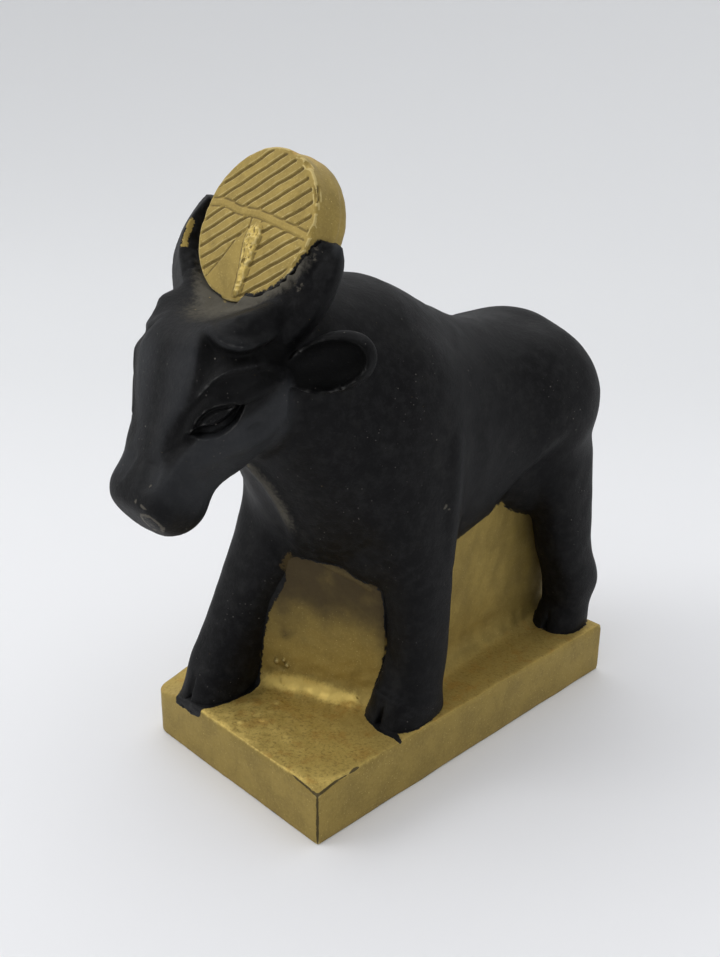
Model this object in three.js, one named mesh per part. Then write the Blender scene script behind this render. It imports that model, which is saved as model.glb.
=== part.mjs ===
// Hathor cow figurine, cast in one piece: a cow with the sun disc between its horns,
// on a rectangular base, with a web of material left standing between its legs.
// Millimetres, +Z up. The cow looks along -Y and its left side is +X.
// The shape is a distance field, negative inside, and the mesh is a skin over it.
import * as THREE from 'three';

// Driving dimensions
const BASE = { width: 40, length: 68.8, height: 9.06, edgeRound: 0.4 };
const BODY = { squareness: 2.15, middle: 3.5, halfLength: 36 };
const HEAD = { at: [0, -33, 71.5], pitch: 65, squareness: 2.6, muzzleEnd: 30.2, pollHeight: 71.6 };
const DISC = { at: [0, -26.7, 81.4], lean: 24.5, halfWidth: 11.2, halfHeight: 10.3, thickness: 4 };
const EAR = { at: [14.6, -26.9, 65.7], halfLength: 6.2, halfWidth: 3.5, halfThickness: 1.9 };
const WEB = { left: 9.2, right: 9.5, back: 30.5, top: 33, fillet: 4 };
const HOOF = { radius: 4.55, height: 4, cleft: 0.25 };

// Where the skin's grid lies, off the flat faces of the base, and how fine the skin is
const GRID_LOW = [-25.23, -52.16, -2.1];
const GRID_HIGH = [25, 45, 95];
const CELL = 0.75;
const CELLS_PER_BLOCK = 3;
const TRIANGLES = 7400;
const FACE_CARE = 3;
const SEAT_SLACK = 0.1;

// Body: height of the back, height of the belly and half width, each against Y
const BACK_LINE = [[-32, 64], [-24, 71.5], [-14, 73.2], [-4, 71], [4, 67.6], [12, 65], [19, 64.2],
  [27, 64.6], [32, 63], [36, 59.8], [38.6, 56], [40, 52]];
const BELLY_LINE = [[-32, 56], [-26, 45], [-20, 33.5], [-15, 30], [-9, 28], [-3, 27], [4, 27.8],
  [12, 29.8], [20, 32], [27, 34.5], [32, 38], [36.5, 43], [40, 50]];
const HALF_WIDTH = [[-32, 7], [-26, 10.5], [-18, 14.5], [-8, 16.2], [0, 15.8], [8, 14.8], [16, 15],
  [24, 15.8], [30, 15.4], [34, 13.8], [37, 10.8], [39, 6.5], [40, 3]];

// Each leg from the hoof up: height, centre X, centre Y, half width, half depth
const LEGS = {
  leftFore: {
    hoof: [14.7, -12.3],
    stations: [[9, 14.6, -11, 4.5, 5.6], [13, 14.4, -10.4, 4.2, 5.1], [17, 14.3, -9.2, 4, 4.8],
      [24, 14.1, -8.8, 4.1, 4.9], [32, 13.5, -8.6, 4.4, 5.8], [42, 11.6, -8.6, 5, 8],
      [52, 8.6, -8.6, 4, 8]],
  },
  rightFore: {
    hoof: [-10.6, -28.3],
    stations: [[9, -10.6, -27.4, 4.5, 5.4], [13, -10.6, -26.4, 4.2, 5], [17, -10.8, -24.6, 4, 4.8],
      [24, -10.4, -20.8, 4.8, 5.2], [32, -9, -16.8, 6.8, 6.4], [42, -9, -11.8, 6.4, 8],
      [52, -8.6, -8.6, 4, 8]],
  },
  leftHind: {
    hoof: [14.8, 29],
    stations: [[9, 14.6, 29.6, 4.4, 5], [13, 14.6, 30.8, 4.1, 4.3], [17, 14.6, 31.2, 3.8, 4],
      [24, 14, 28.9, 3.9, 4.5], [32, 13.3, 27, 4.4, 6.8], [42, 11.2, 26, 5.2, 9.6],
      [52, 8.6, 24.5, 4, 10]],
  },
  rightHind: {
    hoof: [-14.8, 21],
    stations: [[9, -14.6, 21.6, 4.4, 5], [13, -14.6, 22.6, 4.1, 4.3], [17, -14.6, 23.2, 3.8, 4],
      [24, -14, 23.6, 3.9, 4.5], [32, -13.3, 24.6, 4.4, 6.8], [42, -11.2, 25.6, 5.2, 9.6],
      [52, -8.6, 24.5, 4, 10]],
  },
};

// Head, along its own axis from the poll to the muzzle: face side, throat side, half width
const FACE_SIDE = [[-5, 1], [-1, 4.4], [4, 5.9], [10, 5.3], [16, 4], [21, 3.2], [25.5, 3.9], [29, 3]];
const THROAT_SIDE = [[-5, -9], [5, -11], [10, -11.2], [14, -10.6], [18, -8.6], [22, -6.8],
  [26, -6.4], [30, -5]];
const HEAD_WIDTH = [[-5, 9], [2, 10.4], [8, 11], [13, 9.3], [18, 7.2], [22, 6.2], [26, 6.7], [30, 5.4]];

// Lines cut round the side of the head: turn about its axis in degrees, distance along it
const BROW = [[20, 0.5], [33, 3.2], [42, 4.8], [54, 5.1], [67, 4], [80, 1.8]];
const EYEBROW = [[38, 13.5], [46, 11.4], [52, 9.2], [58, 7.8], [64, 6.9], [75, 5.8], [85, 5]];
const UPPER_LID = [[40, 18], [46, 16], [53.6, 13.9], [58.4, 12.5], [63.4, 11.7], [69, 11.2],
  [75.4, 10.6], [84, 8.5], [92, 6.8]];
const JAW = [[7.2, 19, -0.5], [7.6, 16.6, -4.5], [8.6, 14.6, -7.4], [10, 11.8, -8.4], [10.9, 9, -7.6]];
const JAW_CREASE = [[4, 17, -11.6], [8.2, 14.2, -10.4], [10.4, 10.6, -9.8], [11, 7.6, -8.8]];
const EYE = { from: [6.5, 15.9, 2.7], to: [10.5, 10.4, -0.3], facing: [0.82, 0.25, 0.52] };

// Horns: turn from the tip in degrees, against the radius of the arc and the half width
const HORN_ARC = [[-80, 13.2], [-50, 13.7], [-25, 13.5], [0, 12.8]];
const HORN_WIDTH = [[-80, 4.8], [-50, 4.1], [-25, 3.4], [-8, 2.6], [0, 2]];
const HORNS = [{ side: 1, tip: -3, spread: -0.5 }, { side: -1, tip: 14, spread: 1.2 }];

// Centre lines with a radius at each joint
const NECK = [[0, -12, 59, 13.8], [0, -22, 62, 11], [0, -30, 61.5, 9]];
const TAIL = [[0, 33, 62.2, 1.3], [0.2, 37.2, 58, 1.4], [0.6, 39, 52, 1.4], [1.1, 37.6, 45, 1.3],
  [1.6, 34.6, 38, 1.3], [2, 31.5, 30, 1.6], [2.1, 31, 25, 1.2]];
const DEWLAP = [[0, -28.5, 50], [0, -25.5, 46], [0, -23, 42], [0, -21, 36]];
const BEHIND_SHOULDER = [[15.5, 0.5, 56], [16.5, 0, 46], [15, 0.5, 36]];
const FORELEG_RIDGE = [[16.5, -5.6, 55], [17, -5.6, 46], [16, -5.6, 36]];

// Arithmetic shared by every shape
const { abs, hypot, max, min, sin, cos } = Math;
const radians = THREE.MathUtils.degToRad;
const clamp = THREE.MathUtils.clamp;

function smoothMin(a, b, k) {
  const h = clamp(0.5 + 0.5 * (b - a) / k, 0, 1);
  return b + (a - b) * h - k * h * (1 - h);
}

function smoothMax(a, b, k) {
  return -smoothMin(-a, -b, k);
}

// 0 well below zero and 1 well above it, over the given width
function ramp(value, width) {
  const h = clamp(0.5 + value / width, 0, 1);
  return h * h * (3 - 2 * h);
}

// 1 at zero, falling softly to 0 at the given width
function bump(distance, width) {
  return clamp(1 - (distance / width) ** 2, 0, 1) ** 2;
}

// A smooth curve through [position, value] pairs, held level past its ends
function smoothCurve(pairs) {
  const last = pairs.length - 1;
  const gap = (i) => pairs[i + 1][0] - pairs[i][0];
  const slope = (i) => (pairs[i + 1][1] - pairs[i][1]) / gap(i);
  const slopes = pairs.map((pair, i) => {
    if (i === 0) return slope(0);
    if (i === last) return slope(last - 1);
    return (slope(i) * gap(i - 1) + slope(i - 1) * gap(i)) / (gap(i - 1) + gap(i));
  });
  return (position) => {
    const at = clamp(position, pairs[0][0], pairs[last][0]);
    let i = 0;
    while (i < last - 1 && at > pairs[i + 1][0]) i += 1;
    const h = gap(i);
    const u = (at - pairs[i][0]) / h;
    const uu = u * u;
    const uuu = uu * u;
    return (2 * uuu - 3 * uu + 1) * pairs[i][1] + (uuu - 2 * uu + u) * h * slopes[i]
      + (3 * uu - 2 * uuu) * pairs[i + 1][1] + (uuu - uu) * h * slopes[i + 1];
  };
}

// Distance to a rounded rectangle: power 2 is an ellipse, higher is squarer
function section(x, y, halfX, halfY, power) {
  const sx = abs(x) / halfX + 1e-9;
  const sy = abs(y) / halfY + 1e-9;
  const q = (sx ** power + sy ** power) ** (1 / power);
  const k = hypot(sx ** (power - 1) / halfX, sy ** (power - 1) / halfY) * q ** (1 - power);
  return (q - 1) / k;
}

function ellipsoid(x, y, z, a, b, c) {
  const near = hypot(x / a, y / b, z / c) + 1e-9;
  const slope = hypot(x / (a * a), y / (b * b), z / (c * c)) + 1e-9;
  return near * (near - 1) / slope;
}

// Distance to a straight piece between two points whose radius changes along it
function taper(x, y, z, a, b, radiusA = 0, radiusB = 0) {
  const bx = b[0] - a[0];
  const by = b[1] - a[1];
  const bz = b[2] - a[2];
  const px = x - a[0];
  const py = y - a[1];
  const pz = z - a[2];
  const h = clamp((px * bx + py * by + pz * bz) / (bx * bx + by * by + bz * bz), 0, 1);
  return hypot(px - h * bx, py - h * by, pz - h * bz) - (radiusA + (radiusB - radiusA) * h);
}

function toLine(x, y, z, points) {
  let d = Infinity;
  for (let i = 0; i + 1 < points.length; i += 1) d = min(d, taper(x, y, z, points[i], points[i + 1]));
  return d;
}

function chain(x, y, z, joints, blend) {
  let d = Infinity;
  for (let i = 0; i + 1 < joints.length; i += 1) {
    const link = taper(x, y, z, joints[i], joints[i + 1], joints[i][3], joints[i + 1][3]);
    d = d === Infinity ? link : smoothMin(d, link, blend);
  }
  return d;
}

// Body
const backAt = smoothCurve(BACK_LINE);
const bellyAt = smoothCurve(BELLY_LINE);
const widthAt = smoothCurve(HALF_WIDTH);

function torso(x, y, z) {
  const back = backAt(y);
  const belly = bellyAt(y);
  const rise = clamp((z - belly) / (back - belly), 0, 1);
  const width = widthAt(y) * (1.06 - 0.576 * (rise - 0.42) ** 2);
  const d = section(x, z - (back + belly) / 2, width, (back - belly) / 2, BODY.squareness);
  return smoothMax(d, abs(y - BODY.middle) - BODY.halfLength, 5);
}

function shoulders(x, y, z) {
  return ellipsoid(abs(x) - 10.2, y + 8.5, z - 48, 7, 10.5, 17);
}

function thighs(x, y, z) {
  return ellipsoid(abs(x) - 8.8, y - 24.6, z - 44, 7.6, 10.8, 16);
}

// Legs
function legField({ hoof, stations }) {
  const curveOf = (column) => smoothCurve(stations.map((row) => [row[0], row[column]]));
  const [centreX, centreY, halfX, halfY] = [1, 2, 3, 4].map(curveOf);
  const low = stations[0][0];
  const high = stations[stations.length - 1][0];
  const lean = max(...stations.slice(1).map((row, i) =>
    abs((row[2] - stations[i][2]) / (row[0] - stations[i][0]))));
  const slant = hypot(1, min(lean, 1));
  return (x, y, z) => {
    const round = section(x - centreX(z), y - centreY(z), halfX(z), halfY(z), 2.2) / slant;
    const leg = smoothMax(round, abs(z - (low + high) / 2) - (high - low) / 2, 1);
    return smoothMin(leg, hoofShape(x - hoof[0], y - hoof[1], z - BASE.height), 0.7);
  };
}

function hoofShape(x, y, z) {
  const level = clamp(z, -2, 8);
  const radius = HOOF.radius - 0.08 * level;
  const wall = section(x, y - 0.35 * (level - 2), radius, radius * 1.1, 2.4);
  const solid = smoothMax(wall, z - HOOF.height + 0.25 * y, 1.2);
  return smoothMax(solid, -max(abs(x) - HOOF.cleft, y + 1.5), 0.5);
}

const legFields = Object.values(LEGS).map(legField);

function legs(x, y, z) {
  let d = Infinity;
  for (const leg of legFields) d = min(d, leg(x, y, z));
  return max(d, BASE.height - 1.5 - z);
}

// Carving on the body
function flankFold(x, y, z) {
  const behind = (y - 18.9) * 0.579 - (z - 42.8) * 0.817;
  const along = (y - 18.9) * 0.817 + (z - 42.8) * 0.579;
  const depth = ramp(behind - 0.5, 1.4) * clamp(1 - behind / 8.5, 0, 1);
  return 2.3 * depth * ramp(along + 9.5, 4) * ramp(11 - along, 7) * ramp(abs(x) - 7, 6);
}

function bodyRelief(x, y, z) {
  const hollow = 0.9 * bump(toLine(abs(x), y, z, BEHIND_SHOULDER), 5);
  const ridge = 0.5 * bump(toLine(abs(x), y, z, FORELEG_RIDGE), 2.6);
  const dewlap = 1.2 * bump(toLine(x, y, z, DEWLAP), 4);
  return flankFold(x, y, z) + hollow - ridge - dewlap;
}

// Head
const faceSideAt = smoothCurve(FACE_SIDE);
const throatSideAt = smoothCurve(THROAT_SIDE);
const headWidthAt = smoothCurve(HEAD_WIDTH);
const browAt = smoothCurve(BROW);
const eyebrowAt = smoothCurve(EYEBROW);
const lidAt = smoothCurve(UPPER_LID);
const pitchSin = sin(radians(HEAD.pitch));
const pitchCos = cos(radians(HEAD.pitch));

function head(x, y, z) {
  const dy = y - HEAD.at[1];
  const dz = z - HEAD.at[2];
  const along = -pitchCos * dy - pitchSin * dz;
  const out = -pitchSin * dy + pitchCos * dz;
  const middle = (faceSideAt(along) + throatSideAt(along)) / 2;
  const half = (faceSideAt(along) - throatSideAt(along)) / 2;
  const width = headWidthAt(along) * (1 + 0.1 * clamp((out - middle) / half, -1, 1));
  const shaft = section(x, out - middle, width, half, HEAD.squareness);
  const muzzle = smoothMax(shaft, along - HEAD.muzzleEnd, 4);
  const poll = z - HEAD.pollHeight - 0.2 * (y + 31) - 0.022 * x * x;
  return smoothMax(muzzle, poll, 2.2) + faceCarving(abs(x), along, out);
}

function faceCarving(x, along, out) {
  const turn = THREE.MathUtils.radToDeg(Math.atan2(x, out + 3));
  const brow = browAt(turn);
  const eyebrow = eyebrowAt(turn);
  const lid = lidAt(turn);
  const beside = ramp(turn - 42.5, 6) * ramp(86 - turn, 14);
  const underBrow = ramp(along - brow - 0.35, 0.8) * ramp(eyebrow - along + 0.2, 0.8)
    * clamp((eyebrow - along) / (eyebrow - brow - 0.6), 0, 1);
  const underEyebrow = ramp(along - eyebrow - 0.45, 0.8)
    * clamp((lid - along) / (lid - eyebrow - 0.6), 0, 1);
  const jaw = bump(toLine(x, along, out, JAW), 2.4);
  const crease = bump(toLine(x, along, out, JAW_CREASE), 1.6);
  return beside * (1.5 * underBrow + underEyebrow) - 0.7 * jaw + 0.8 * crease
    + eyeCarving(x, along, out);
}

const eyeFrom = new THREE.Vector3(...EYE.from);
const eyeTo = new THREE.Vector3(...EYE.to);
const eyeMiddle = eyeFrom.clone().add(eyeTo).multiplyScalar(0.5);
const eyeHalf = eyeFrom.distanceTo(eyeTo) / 2;
const eyeLong = eyeTo.clone().sub(eyeFrom).normalize();
const eyeOut = new THREE.Vector3(...EYE.facing).projectOnPlane(eyeLong).normalize();
const eyeUp = eyeOut.clone().cross(eyeLong);

function eyeCarving(x, along, out) {
  const dx = x - eyeMiddle.x;
  const dy = along - eyeMiddle.y;
  const dz = out - eyeMiddle.z;
  const a = dx * eyeLong.x + dy * eyeLong.y + dz * eyeLong.z;
  const b = dx * eyeUp.x + dy * eyeUp.y + dz * eyeUp.z;
  const n = dx * eyeOut.x + dy * eyeOut.y + dz * eyeOut.z;
  const lids = 1.9 * clamp(1 - (a / (eyeHalf + 0.4)) ** 2, 0, 1) - abs(b);
  const ball = 1.25 * clamp(1 - (a / (eyeHalf - 0.7)) ** 2, 0, 1) - abs(b);
  return ramp(2.5 - abs(n), 1.5) * (ramp(lids - 0.25, 0.5) - 0.95 * ramp(ball - 0.1, 0.9));
}

// Sun disc and horns, measured in the plane of the disc: across, up and out of its face
const leanSin = sin(radians(DISC.lean));
const leanCos = cos(radians(DISC.lean));

function inDiscPlane(y, z) {
  const dy = y - DISC.at[1];
  const dz = z - DISC.at[2];
  return [leanSin * dy + leanCos * dz, -leanCos * dy + leanSin * dz];
}

function disc(x, y, z) {
  const [up, out] = inDiscPlane(y, z);
  const half = DISC.thickness / 2;
  const front = smoothMax(section(x, up, DISC.halfWidth, DISC.halfHeight, 2), abs(out + half) - half, 0.3);
  const rear = section(x, up + 1.5, DISC.halfWidth + 0.4, DISC.halfHeight + 0.7, 2);
  return smoothMin(front, smoothMax(rear, abs(out + 4.2) - 2.2, 2), 0.6);
}

const hornArcAt = smoothCurve(HORN_ARC);
const hornWidthAt = smoothCurve(HORN_WIDTH);

function horn(x, up, out, { side, tip, spread }) {
  const across = x * side;
  const turn = THREE.MathUtils.radToDeg(Math.atan2(up, across)) - tip;
  const width = hornWidthAt(turn);
  const away = hypot(x, up) - spread - hornArcAt(turn);
  const front = out + 2.6;
  const round = section(away, front, width, width * 1.1, 2.4);
  const faceted = smoothMax(round, 0.45 * (away - 0.2) + 0.89 * (front - width * 0.86), 0.5);
  const pastTip = max(up * cos(radians(tip)) - across * sin(radians(tip)), 0);
  const closed = smoothMax(faceted, pastTip - 0.4, 2.4);
  const footed = smoothMax(closed, max(-(up + 12.5), 0) - 2, 2);
  return smoothMax(footed, 2 - across, 1);
}

function horns(x, y, z) {
  const [up, out] = inDiscPlane(y, z);
  return min(horn(x, up, out, HORNS[0]), horn(x, up, out, HORNS[1]));
}

// Ears: a leaf with a hollow that looks forward
const earLong = new THREE.Vector3(0.82, 0.45, 0.34).normalize();
const earOut = new THREE.Vector3(0.35, -0.93, 0.1).projectOnPlane(earLong).normalize();
const earUp = earOut.clone().cross(earLong);

function ears(x, y, z) {
  const dx = abs(x) - EAR.at[0];
  const dy = y - EAR.at[1];
  const dz = z - EAR.at[2];
  const a = dx * earLong.x + dy * earLong.y + dz * earLong.z;
  const n = dx * earOut.x + dy * earOut.y + dz * earOut.z;
  const wide = 1 + 0.1 * clamp(a / 6, -1, 1);
  const b = (dx * earUp.x + dy * earUp.y + dz * earUp.z) / wide;
  const leaf = ellipsoid(a, b, n, EAR.halfLength, EAR.halfWidth, EAR.halfThickness);
  const hollow = ellipsoid(a + 0.4, b, n - 1.7, EAR.halfLength - 1, EAR.halfWidth - 0.75, 2.4);
  return smoothMax(leaf, -hollow, 0.3);
}

// Base, open downwards until the underside is cut, and the web with its slanting front
function base(x, y, z) {
  const r = BASE.edgeRound;
  const dx = abs(x) - (BASE.width / 2 - r);
  const dy = abs(y) - (BASE.length / 2 - r);
  const dz = z - (BASE.height - r);
  return hypot(max(dx, 0), max(dy, 0), max(dz, 0)) + min(max(dx, dy, dz), 0) - r;
}

function web(x, y, z) {
  const left = x - WEB.left - 0.11 * max(10 - y, 0);
  const right = -x - WEB.right;
  const front = 0.447 * (x - 10.2) - 0.894 * (y + 14.2);
  const sides = smoothMax(left, right, 2);
  const ends = smoothMax(front, y - WEB.back, 1);
  return smoothMax(smoothMax(sides, ends, 1.2), z - WEB.top - 0.1 * (y + 17), 1.5);
}

function cow(x, y, z) {
  let d = smoothMin(torso(x, y, z), chain(x, y, z, NECK, 3), 4);
  d = smoothMin(d, shoulders(x, y, z), 3);
  d = smoothMin(d, thighs(x, y, z), 3);
  d = smoothMin(d, legs(x, y, z), 3) + bodyRelief(x, y, z);
  d = smoothMin(d, chain(x, y, z, TAIL, 0.8), 1);
  d = smoothMin(d, head(x, y, z), 1.6);
  d = smoothMin(d, ears(x, y, z), 0.8);
  return smoothMin(d, horns(x, y, z), 0.8);
}

function figurine(x, y, z) {
  const stand = max(smoothMin(base(x, y, z), web(x, y, z), WEB.fillet), -z);
  return smoothMin(cow(x, y, z), min(stand, disc(x, y, z)), 0.6);
}

// Field values on a grid: only the blocks that the surface passes through are filled in
function sampleGrid(field, low, high, cell) {
  const span = cell * CELLS_PER_BLOCK;
  const blocks = low.map((v, i) => Math.ceil((high[i] - v) / span));
  const size = blocks.map((count) => count * CELLS_PER_BLOCK);
  const values = new Float32Array(size[0] * size[1] * size[2]);
  const index = (i, j, k) => (i * size[1] + j) * size[2] + k;
  const middle = (CELLS_PER_BLOCK - 1) / 2;
  const reach = 1.5 * span;
  for (let bi = 0; bi < blocks[0]; bi += 1) {
    for (let bj = 0; bj < blocks[1]; bj += 1) {
      for (let bk = 0; bk < blocks[2]; bk += 1) {
        const start = [bi, bj, bk].map((b) => b * CELLS_PER_BLOCK);
        const centre = field(...start.map((s, i) => low[i] + (s + middle) * cell));
        for (let n = 0; n < CELLS_PER_BLOCK ** 3; n += 1) {
          const i = start[0] + Math.floor(n / CELLS_PER_BLOCK ** 2);
          const j = start[1] + Math.floor(n / CELLS_PER_BLOCK) % CELLS_PER_BLOCK;
          const k = start[2] + n % CELLS_PER_BLOCK;
          values[index(i, j, k)] = abs(centre) < reach
            ? field(low[0] + i * cell, low[1] + j * cell, low[2] + k * cell) : centre;
        }
      }
    }
  }
  return { values, size, index };
}

// The eight corners of a cell, and its twelve edges as pairs of corners
const CORNERS = [...Array(8).keys()].map((n) => [n & 1, (n >> 1) & 1, (n >> 2) & 1]);
const EDGES = [];
for (let axis = 0; axis < 3; axis += 1) {
  for (let n = 0; n < 8; n += 1) if (CORNERS[n][axis] === 0) EDGES.push([n, n + (1 << axis), axis]);
}
// For each of the six faces, the edges that lie on it
const FACES = [];
for (let axis = 0; axis < 3; axis += 1) {
  for (const side of [0, 1]) {
    const onFace = (n) => CORNERS[n][axis] === side;
    FACES.push(EDGES.map((_, e) => e).filter((e) => onFace(EDGES[e][0]) && onFace(EDGES[e][1])));
  }
}

// Sorts the crossed edges of one cell into sheets, one for each piece of surface in it
function sheetsInCell(inside) {
  const crossed = EDGES.map(([a, b]) => inside[a] !== inside[b]);
  const sheet = EDGES.map((_, e) => e);
  const join = (a, b) => {
    const [from, to] = [sheet[a], sheet[b]];
    sheet.forEach((s, e) => { if (s === from) sheet[e] = to; });
  };
  for (const face of FACES) {
    const cut = face.filter((e) => crossed[e]);
    if (cut.length === 2) join(cut[0], cut[1]);
    if (cut.length === 4) {
      for (let n = 0; n < 8; n += 1) {
        const touching = cut.filter((e) => EDGES[e][0] === n || EDGES[e][1] === n);
        if (inside[n] && touching.length === 2) join(touching[0], touching[1]);
      }
    }
  }
  return sheet.map((s, e) => (crossed[e] ? s : -1));
}

// Where the surface cuts a grid edge, with the direction that it faces there
function crossingOn(field, from, axis, cell, startValue, endValue) {
  const at = [...from];
  let [low, high] = [0, cell];
  let [lowValue, highValue] = [startValue, endValue];
  for (let n = 0; n < 4; n += 1) {
    const guess = lowValue / (lowValue - highValue);
    const middle = low + (high - low) * clamp(guess, 0.08, 0.92);
    at[axis] = from[axis] + middle;
    const value = field(at[0], at[1], at[2]);
    if ((value < 0) === (lowValue < 0)) [low, lowValue] = [middle, value];
    else [high, highValue] = [middle, value];
  }
  at[axis] = from[axis] + low + (high - low) * lowValue / (lowValue - highValue);
  const e = 0.04;
  const [x, y, z] = at;
  const value = field(x, y, z);
  const gx = field(x + e, y, z) - value;
  const gy = field(x, y + e, z) - value;
  const gz = field(x, y, z + e) - value;
  const length = hypot(gx, gy, gz) + 1e-12;
  return { point: at, facing: [gx / length, gy / length, gz / length] };
}

// The point of a cell that fits the surface cuts best, so that sharp edges stay sharp
function bestPoint(crossings, cellLow, cell) {
  const mean = [0, 1, 2].map((i) => crossings.reduce((sum, c) => sum + c.point[i], 0) / crossings.length);
  const pull = 0.04 * crossings.length;
  const m = new THREE.Matrix3();
  const sum = [pull, 0, 0, 0, pull, 0, 0, 0, pull];
  const right = new THREE.Vector3();
  for (const { point, facing } of crossings) {
    const offset = facing.reduce((total, f, i) => total + f * (point[i] - mean[i]), 0);
    for (let r = 0; r < 3; r += 1) {
      for (let c = 0; c < 3; c += 1) sum[3 * r + c] += facing[r] * facing[c];
    }
    right.add(new THREE.Vector3(...facing).multiplyScalar(offset));
  }
  const step = right.applyMatrix3(m.fromArray(sum).invert()).toArray();
  return mean.map((v, i) => clamp(v + step[i], cellLow[i] + 0.04 * cell, cellLow[i] + 0.96 * cell));
}

// A closed skin of four-sided patches over the field, one vertex for each sheet in a cell
function skinOf(field, low, high, cell) {
  const { values, size, index } = sampleGrid(field, low, high, cell);
  const strides = [size[1] * size[2], size[2], 1];
  const offsets = CORNERS.map((c) => c[0] * strides[0] + c[1] * strides[1] + c[2]);
  const crossings = new Map();
  const vertexAt = new Map();
  const points = [];
  const place = (i, j, k) => [low[0] + i * cell, low[1] + j * cell, low[2] + k * cell];
  const crossing = (corner, axis, ijk) => {
    const key = corner * 3 + axis;
    if (!crossings.has(key)) {
      const ends = [values[corner], values[corner + strides[axis]]];
      crossings.set(key, crossingOn(field, place(...ijk), axis, cell, ...ends));
    }
    return crossings.get(key);
  };
  for (let i = 0; i + 1 < size[0]; i += 1) {
    for (let j = 0; j + 1 < size[1]; j += 1) {
      for (let k = 0; k + 1 < size[2]; k += 1) {
        const corner = index(i, j, k);
        const inside = offsets.map((o) => values[corner + o] < 0);
        if (inside.every((v) => v === inside[0])) continue;
        const sheet = sheetsInCell(inside);
        for (const id of new Set(sheet.filter((s) => s >= 0))) {
          const edges = EDGES.map((_, e) => e).filter((e) => sheet[e] === id);
          const cuts = edges.map((e) => {
            const [n, , axis] = EDGES[e];
            const ijk = [i + CORNERS[n][0], j + CORNERS[n][1], k + CORNERS[n][2]];
            return crossing(corner + offsets[n], axis, ijk);
          });
          for (const e of edges) vertexAt.set(corner * 12 + e, points.length);
          points.push(bestPoint(cuts, place(i, j, k), cell));
        }
      }
    }
  }
  return { points, triangles: patches(values, strides, crossings, vertexAt, points) };
}

// Joins the vertices of the four cells round each cut edge by two triangles
function patches(values, strides, crossings, vertexAt, points) {
  const triangles = [];
  const distance = (a, b) => hypot(...points[a].map((v, i) => v - points[b][i]));
  for (const key of crossings.keys()) {
    const axis = key % 3;
    const corner = (key - axis) / 3;
    const [u, v] = [(axis + 1) % 3, (axis + 2) % 3];
    const ring = [[0, 0], [1, 0], [1, 1], [0, 1]].map(([du, dv]) => {
      const cellCorner = corner - du * strides[u] - dv * strides[v];
      const start = (du << u) + (dv << v);
      const edge = EDGES.findIndex(([n, , a]) => n === start && a === axis);
      return vertexAt.get(cellCorner * 12 + edge);
    });
    if (values[corner] >= 0) ring.reverse();
    const [a, b, c, d] = ring;
    if (distance(a, c) < distance(b, d)) triangles.push([a, b, c], [a, c, d]);
    else triangles.push([b, c, d], [b, d, a]);
  }
  return triangles;
}

// Squared distance to a set of planes, kept as the ten numbers of a symmetric matrix
function planeSum(point, normal, weight, into) {
  const [a, b, c] = normal;
  const d = -(a * point[0] + b * point[1] + c * point[2]);
  const terms = [a * a, a * b, a * c, a * d, b * b, b * c, b * d, c * c, c * d, d * d];
  terms.forEach((term, i) => { into[i] += weight * term; });
}

function planeError(q, [x, y, z]) {
  return q[0] * x * x + q[4] * y * y + q[7] * z * z + q[9]
    + 2 * (q[1] * x * y + q[2] * x * z + q[5] * y * z + q[3] * x + q[6] * y + q[8] * z);
}

function crossOf(a, b, c) {
  const [ux, uy, uz] = [b[0] - a[0], b[1] - a[1], b[2] - a[2]];
  const [vx, vy, vz] = [c[0] - a[0], c[1] - a[1], c[2] - a[2]];
  return [uy * vz - uz * vy, uz * vx - ux * vz, ux * vy - uy * vx];
}

// Merges neighbouring vertices, the least harmful first, until few enough triangles are left
function thinOut({ points, triangles }, wanted, careAt) {
  const planes = points.map(() => new Float64Array(10));
  const around = points.map(() => new Set());
  triangles.forEach((triangle, t) => {
    const [a, b, c] = triangle.map((v) => points[v]);
    const cross = crossOf(a, b, c);
    const length = hypot(...cross) + 1e-12;
    const normal = cross.map((v) => v / length);
    for (const v of triangle) {
      planeSum(a, normal, length * careAt(points[v]), planes[v]);
      around[v].add(t);
    }
  });
  const neighbours = (v) => {
    const found = new Set();
    for (const t of around[v]) for (const w of triangles[t]) if (w !== v) found.add(w);
    return found;
  };
  const versions = new Uint32Array(points.length);
  const queue = [];
  const push = (a, b) => {
    const sum = planes[a].map((v, i) => v + planes[b][i]);
    const [point, error] = bestMerge(sum, points[a], points[b]);
    const cost = error + 1e-5 * hypot(...point.map((v, i) => v - points[a][i])) ** 2;
    addToQueue(queue, { cost, a, b, point, sum, stamp: versions[a] + versions[b] });
  };
  points.forEach((_, v) => { for (const w of neighbours(v)) if (v < w) push(v, w); });
  let left = triangles.length;
  while (left > wanted && queue.length) {
    const { a, b, point, sum, stamp } = takeFromQueue(queue);
    if (!around[a].size || !around[b].size || stamp !== versions[a] + versions[b]) continue;
    if (!mayMerge(a, b, point, points, triangles, around, neighbours)) continue;
    for (const t of [...around[b]]) {
      if (triangles[t].includes(a)) {
        for (const v of triangles[t]) around[v].delete(t);
        left -= 1;
      } else {
        triangles[t] = triangles[t].map((v) => (v === b ? a : v));
        around[a].add(t);
      }
    }
    around[b].clear();
    points[a] = point;
    planes[a] = sum;
    versions[a] += 1;
    versions[b] += 1;
    for (const w of neighbours(a)) push(a, w);
  }
  return packed(points, triangles, around);
}

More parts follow.
